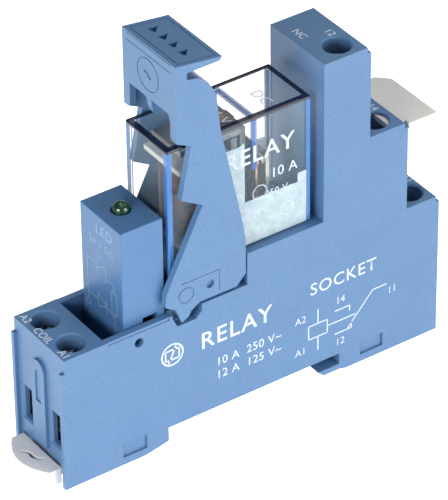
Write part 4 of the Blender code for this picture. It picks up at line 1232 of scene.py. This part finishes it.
# %% Module print
def module_print():
    diagram = lines(
        [(-4.4, 27.4), (-4.4, 36.2), (-1.6, 36.2)],
        [(1.4, 34.6), (3.6, 34.6), (3.6, 33.0)],
        [(2.8, 33.0), (4.4, 33.0), (4.4, 28.6), (2.8, 28.6), (2.8, 33.0)],
        [(3.6, 28.6), (3.6, 24.0)],
        [(-1.6, 34.0), (-1.6, 37.2)],
        [(-1.6, 35.4), (1.2, 37.0), (1.2, 33.6), (-1.6, 35.4)],
        [(-4.4, 29.0), (-1.4, 29.0)],
        [(-1.4, 30.4), (-1.4, 27.4), (1.2, 28.8), (-1.4, 30.4)],
        [(1.2, 30.2), (1.2, 27.2)],
        [(1.2, 28.8), (3.6, 28.0)],
        [(-2.4, 38.6), (-0.8, 37.4)],
        [(-1.4, 38.9), (0.2, 37.7)],
    )
    diagram += ring(-4.4, 26.8, 0.55, 20) + ring(3.6, 23.4, 0.55, 20)
    meshes = [
        strokes(diagram, 0.17),
        lettering("LED", 2.0, (1.0, 43.6), 1.1, 0.03),
        lettering("24 V DC", 1.5, (0.2, 40.6), 1.05),
        lettering("A2", 1.3, (-3.6, 24.4)),
        lettering("A1", 1.3, (3.4, 21.6)),
    ]
    face = at(bench_box("module_housing")[0].x, 0, 0)
    return print_on(
        "module_print", "indicator_module", meshes, face, (0, -1, 0), (0, 0, 1), pale_ink
    )


print("module print:", len(module_print().data.polygons), "faces")

# %% [markdown]
# ## Print on the relay cover
# The clear cover has white print on its near side and on its top. Over the clear part it floats
# in front of the coil, and over the frosted part it nearly vanishes, as on the real thing.

# %% Cover print
side_words = [
    lettering("RELAY", 3.4, (41.6, 51.6), 1.1, 0.05),
    lettering("10 A", 2.0, (46.6, 46.4), 1.05, 0.01),
    lettering("250 V~", 1.4, (45.6, 42.6), 1.05),
    lettering("COIL 24 V", 1.2, (39.4, 39.4), 1.05),
    strokes(ring(36.6, 43.4, 1.5) + ring(41.6, 43.6, 1.4) + ring(47.2, 38.2, 1.3), 0.16),
]
top_words = [lettering("DC", 2.2, (1.8, 45.0), 1.1), lettering("24 V", 2.0, (2.0, 36.2), 1.1)]
near, top = bench_box("relay_cover")[0].y, bench_box("relay_cover")[1].z
print_on("cover_print", "relay", side_words, at(0, near, 0), (1, 0, 0), (0, 0, 1), white_ink)
print_on("cover_top_print", "relay", top_words, at(0, 0, top), (0, -1, 0), (1, 0, 0), white_ink)
print("the cover is printed on its near side and its top")

# %% [markdown]
# ## The table
# The object stands on a white table whose far edge must not show. The table glows a little, so
# it stays white behind the object, as a lit table does, and still takes a soft contact shadow.

# %% Floor
floor_white, floor_shader = principled("floor_white", (0.93, 0.93, 0.93), 0.6)
floor_shader.inputs["Emission Color"].default_value = (1.0, 1.0, 1.0, 1.0)
floor_shader.inputs["Emission Strength"].default_value = 0.85
floor_builder = bmesh.new()
REACH = 3.0
for x, y in ((-REACH, -REACH), (REACH, -REACH), (REACH, REACH), (-REACH, REACH)):
    floor_builder.verts.new((x, y, bench_zero.z))
floor_builder.faces.new(floor_builder.verts)
floor = object_from(floor_builder, "floor")
floor.data.materials.append(floor_white)
print("the table reaches", REACH, "m each way")

# %% [markdown]
# ## Lights
# A large soft box hangs over the object, a second one to the right of the camera fills the long
# side, and a small one lights the coil end and the white foot. Their size is what keeps the
# shadows soft. The world adds a weak even light, and the view is left plain, without a film
# curve, so that colours come out as they were chosen.


# %% Lights
def soft_box(name, place, target, width, height, power):
    """A rectangle of light, in metres and watts, turned towards its target."""
    lamp_data = bpy.data.lights.new(name, "AREA")
    lamp_data.shape = "RECTANGLE"
    lamp_data.size = width
    lamp_data.size_y = height
    lamp_data.energy = power
    box_light = bpy.data.objects.new(name, lamp_data)
    box_light.location = place
    aim = Vector(target) - Vector(place)
    box_light.rotation_euler = aim.to_track_quat("-Z", "Y").to_euler()
    bpy.context.scene.collection.objects.link(box_light)


soft_box("overhead", (0.22, 0.05, 0.55), (0.02, 0, 0.03), 0.6, 0.6, 1.9)
soft_box("side_fill", (0.35, -0.60, 0.16), (0.01, 0, 0.03), 0.45, 0.4, 3.7)
soft_box("end_fill", (-0.26, -0.10, 0.13), (-0.04, 0, 0.01), 0.16, 0.1, 0.55)
world = bpy.data.worlds.new("studio")
world.use_nodes = True
world.node_tree.nodes["Background"].inputs["Color"].default_value = (1, 1, 1, 1)
world.node_tree.nodes["Background"].inputs["Strength"].default_value = 0.13
bpy.context.scene.world = world
bpy.context.scene.view_settings.view_transform = "Standard"

# %% [markdown]
# ## Camera
# The camera looks down on the coil end from the left. It uses a long lens, so upright edges stay
# almost parallel. Its direction is given by three angles, in radians: how far it is turned, how
# far it looks down, and how far it leans.

# %% Camera
AZIMUTH, DEPRESSION, ROLL = 0.600774948, 0.622211730, -0.0129287955
forward = Vector(
    (
        math.cos(DEPRESSION) * math.sin(AZIMUTH),
        math.cos(DEPRESSION) * math.cos(AZIMUTH),
        -math.sin(DEPRESSION),
    )
)
level = Vector((math.cos(AZIMUTH), -math.sin(AZIMUTH), 0))
upward = level.cross(forward)
cam_x = level * math.cos(ROLL) + upward * math.sin(ROLL)
cam_y = upward * math.cos(ROLL) - level * math.sin(ROLL)
CAMERA_PLACE = (-0.308026, -0.448275, 0.415450)
camera_data = bpy.data.cameras.new("camera")
camera_data.sensor_width = 36
camera_data.lens = 282.2986
camera_data.clip_start = 0.01
camera = bpy.data.objects.new("camera", camera_data)
turn = Matrix((cam_x, cam_y, -forward)).transposed()
camera.matrix_world = Matrix.Translation(CAMERA_PLACE) @ turn.to_4x4()
bpy.context.scene.collection.objects.link(camera)
bpy.context.scene.camera = camera
print("camera height over the table in mm:", round((camera.location.z - bench_zero.z) / MM))
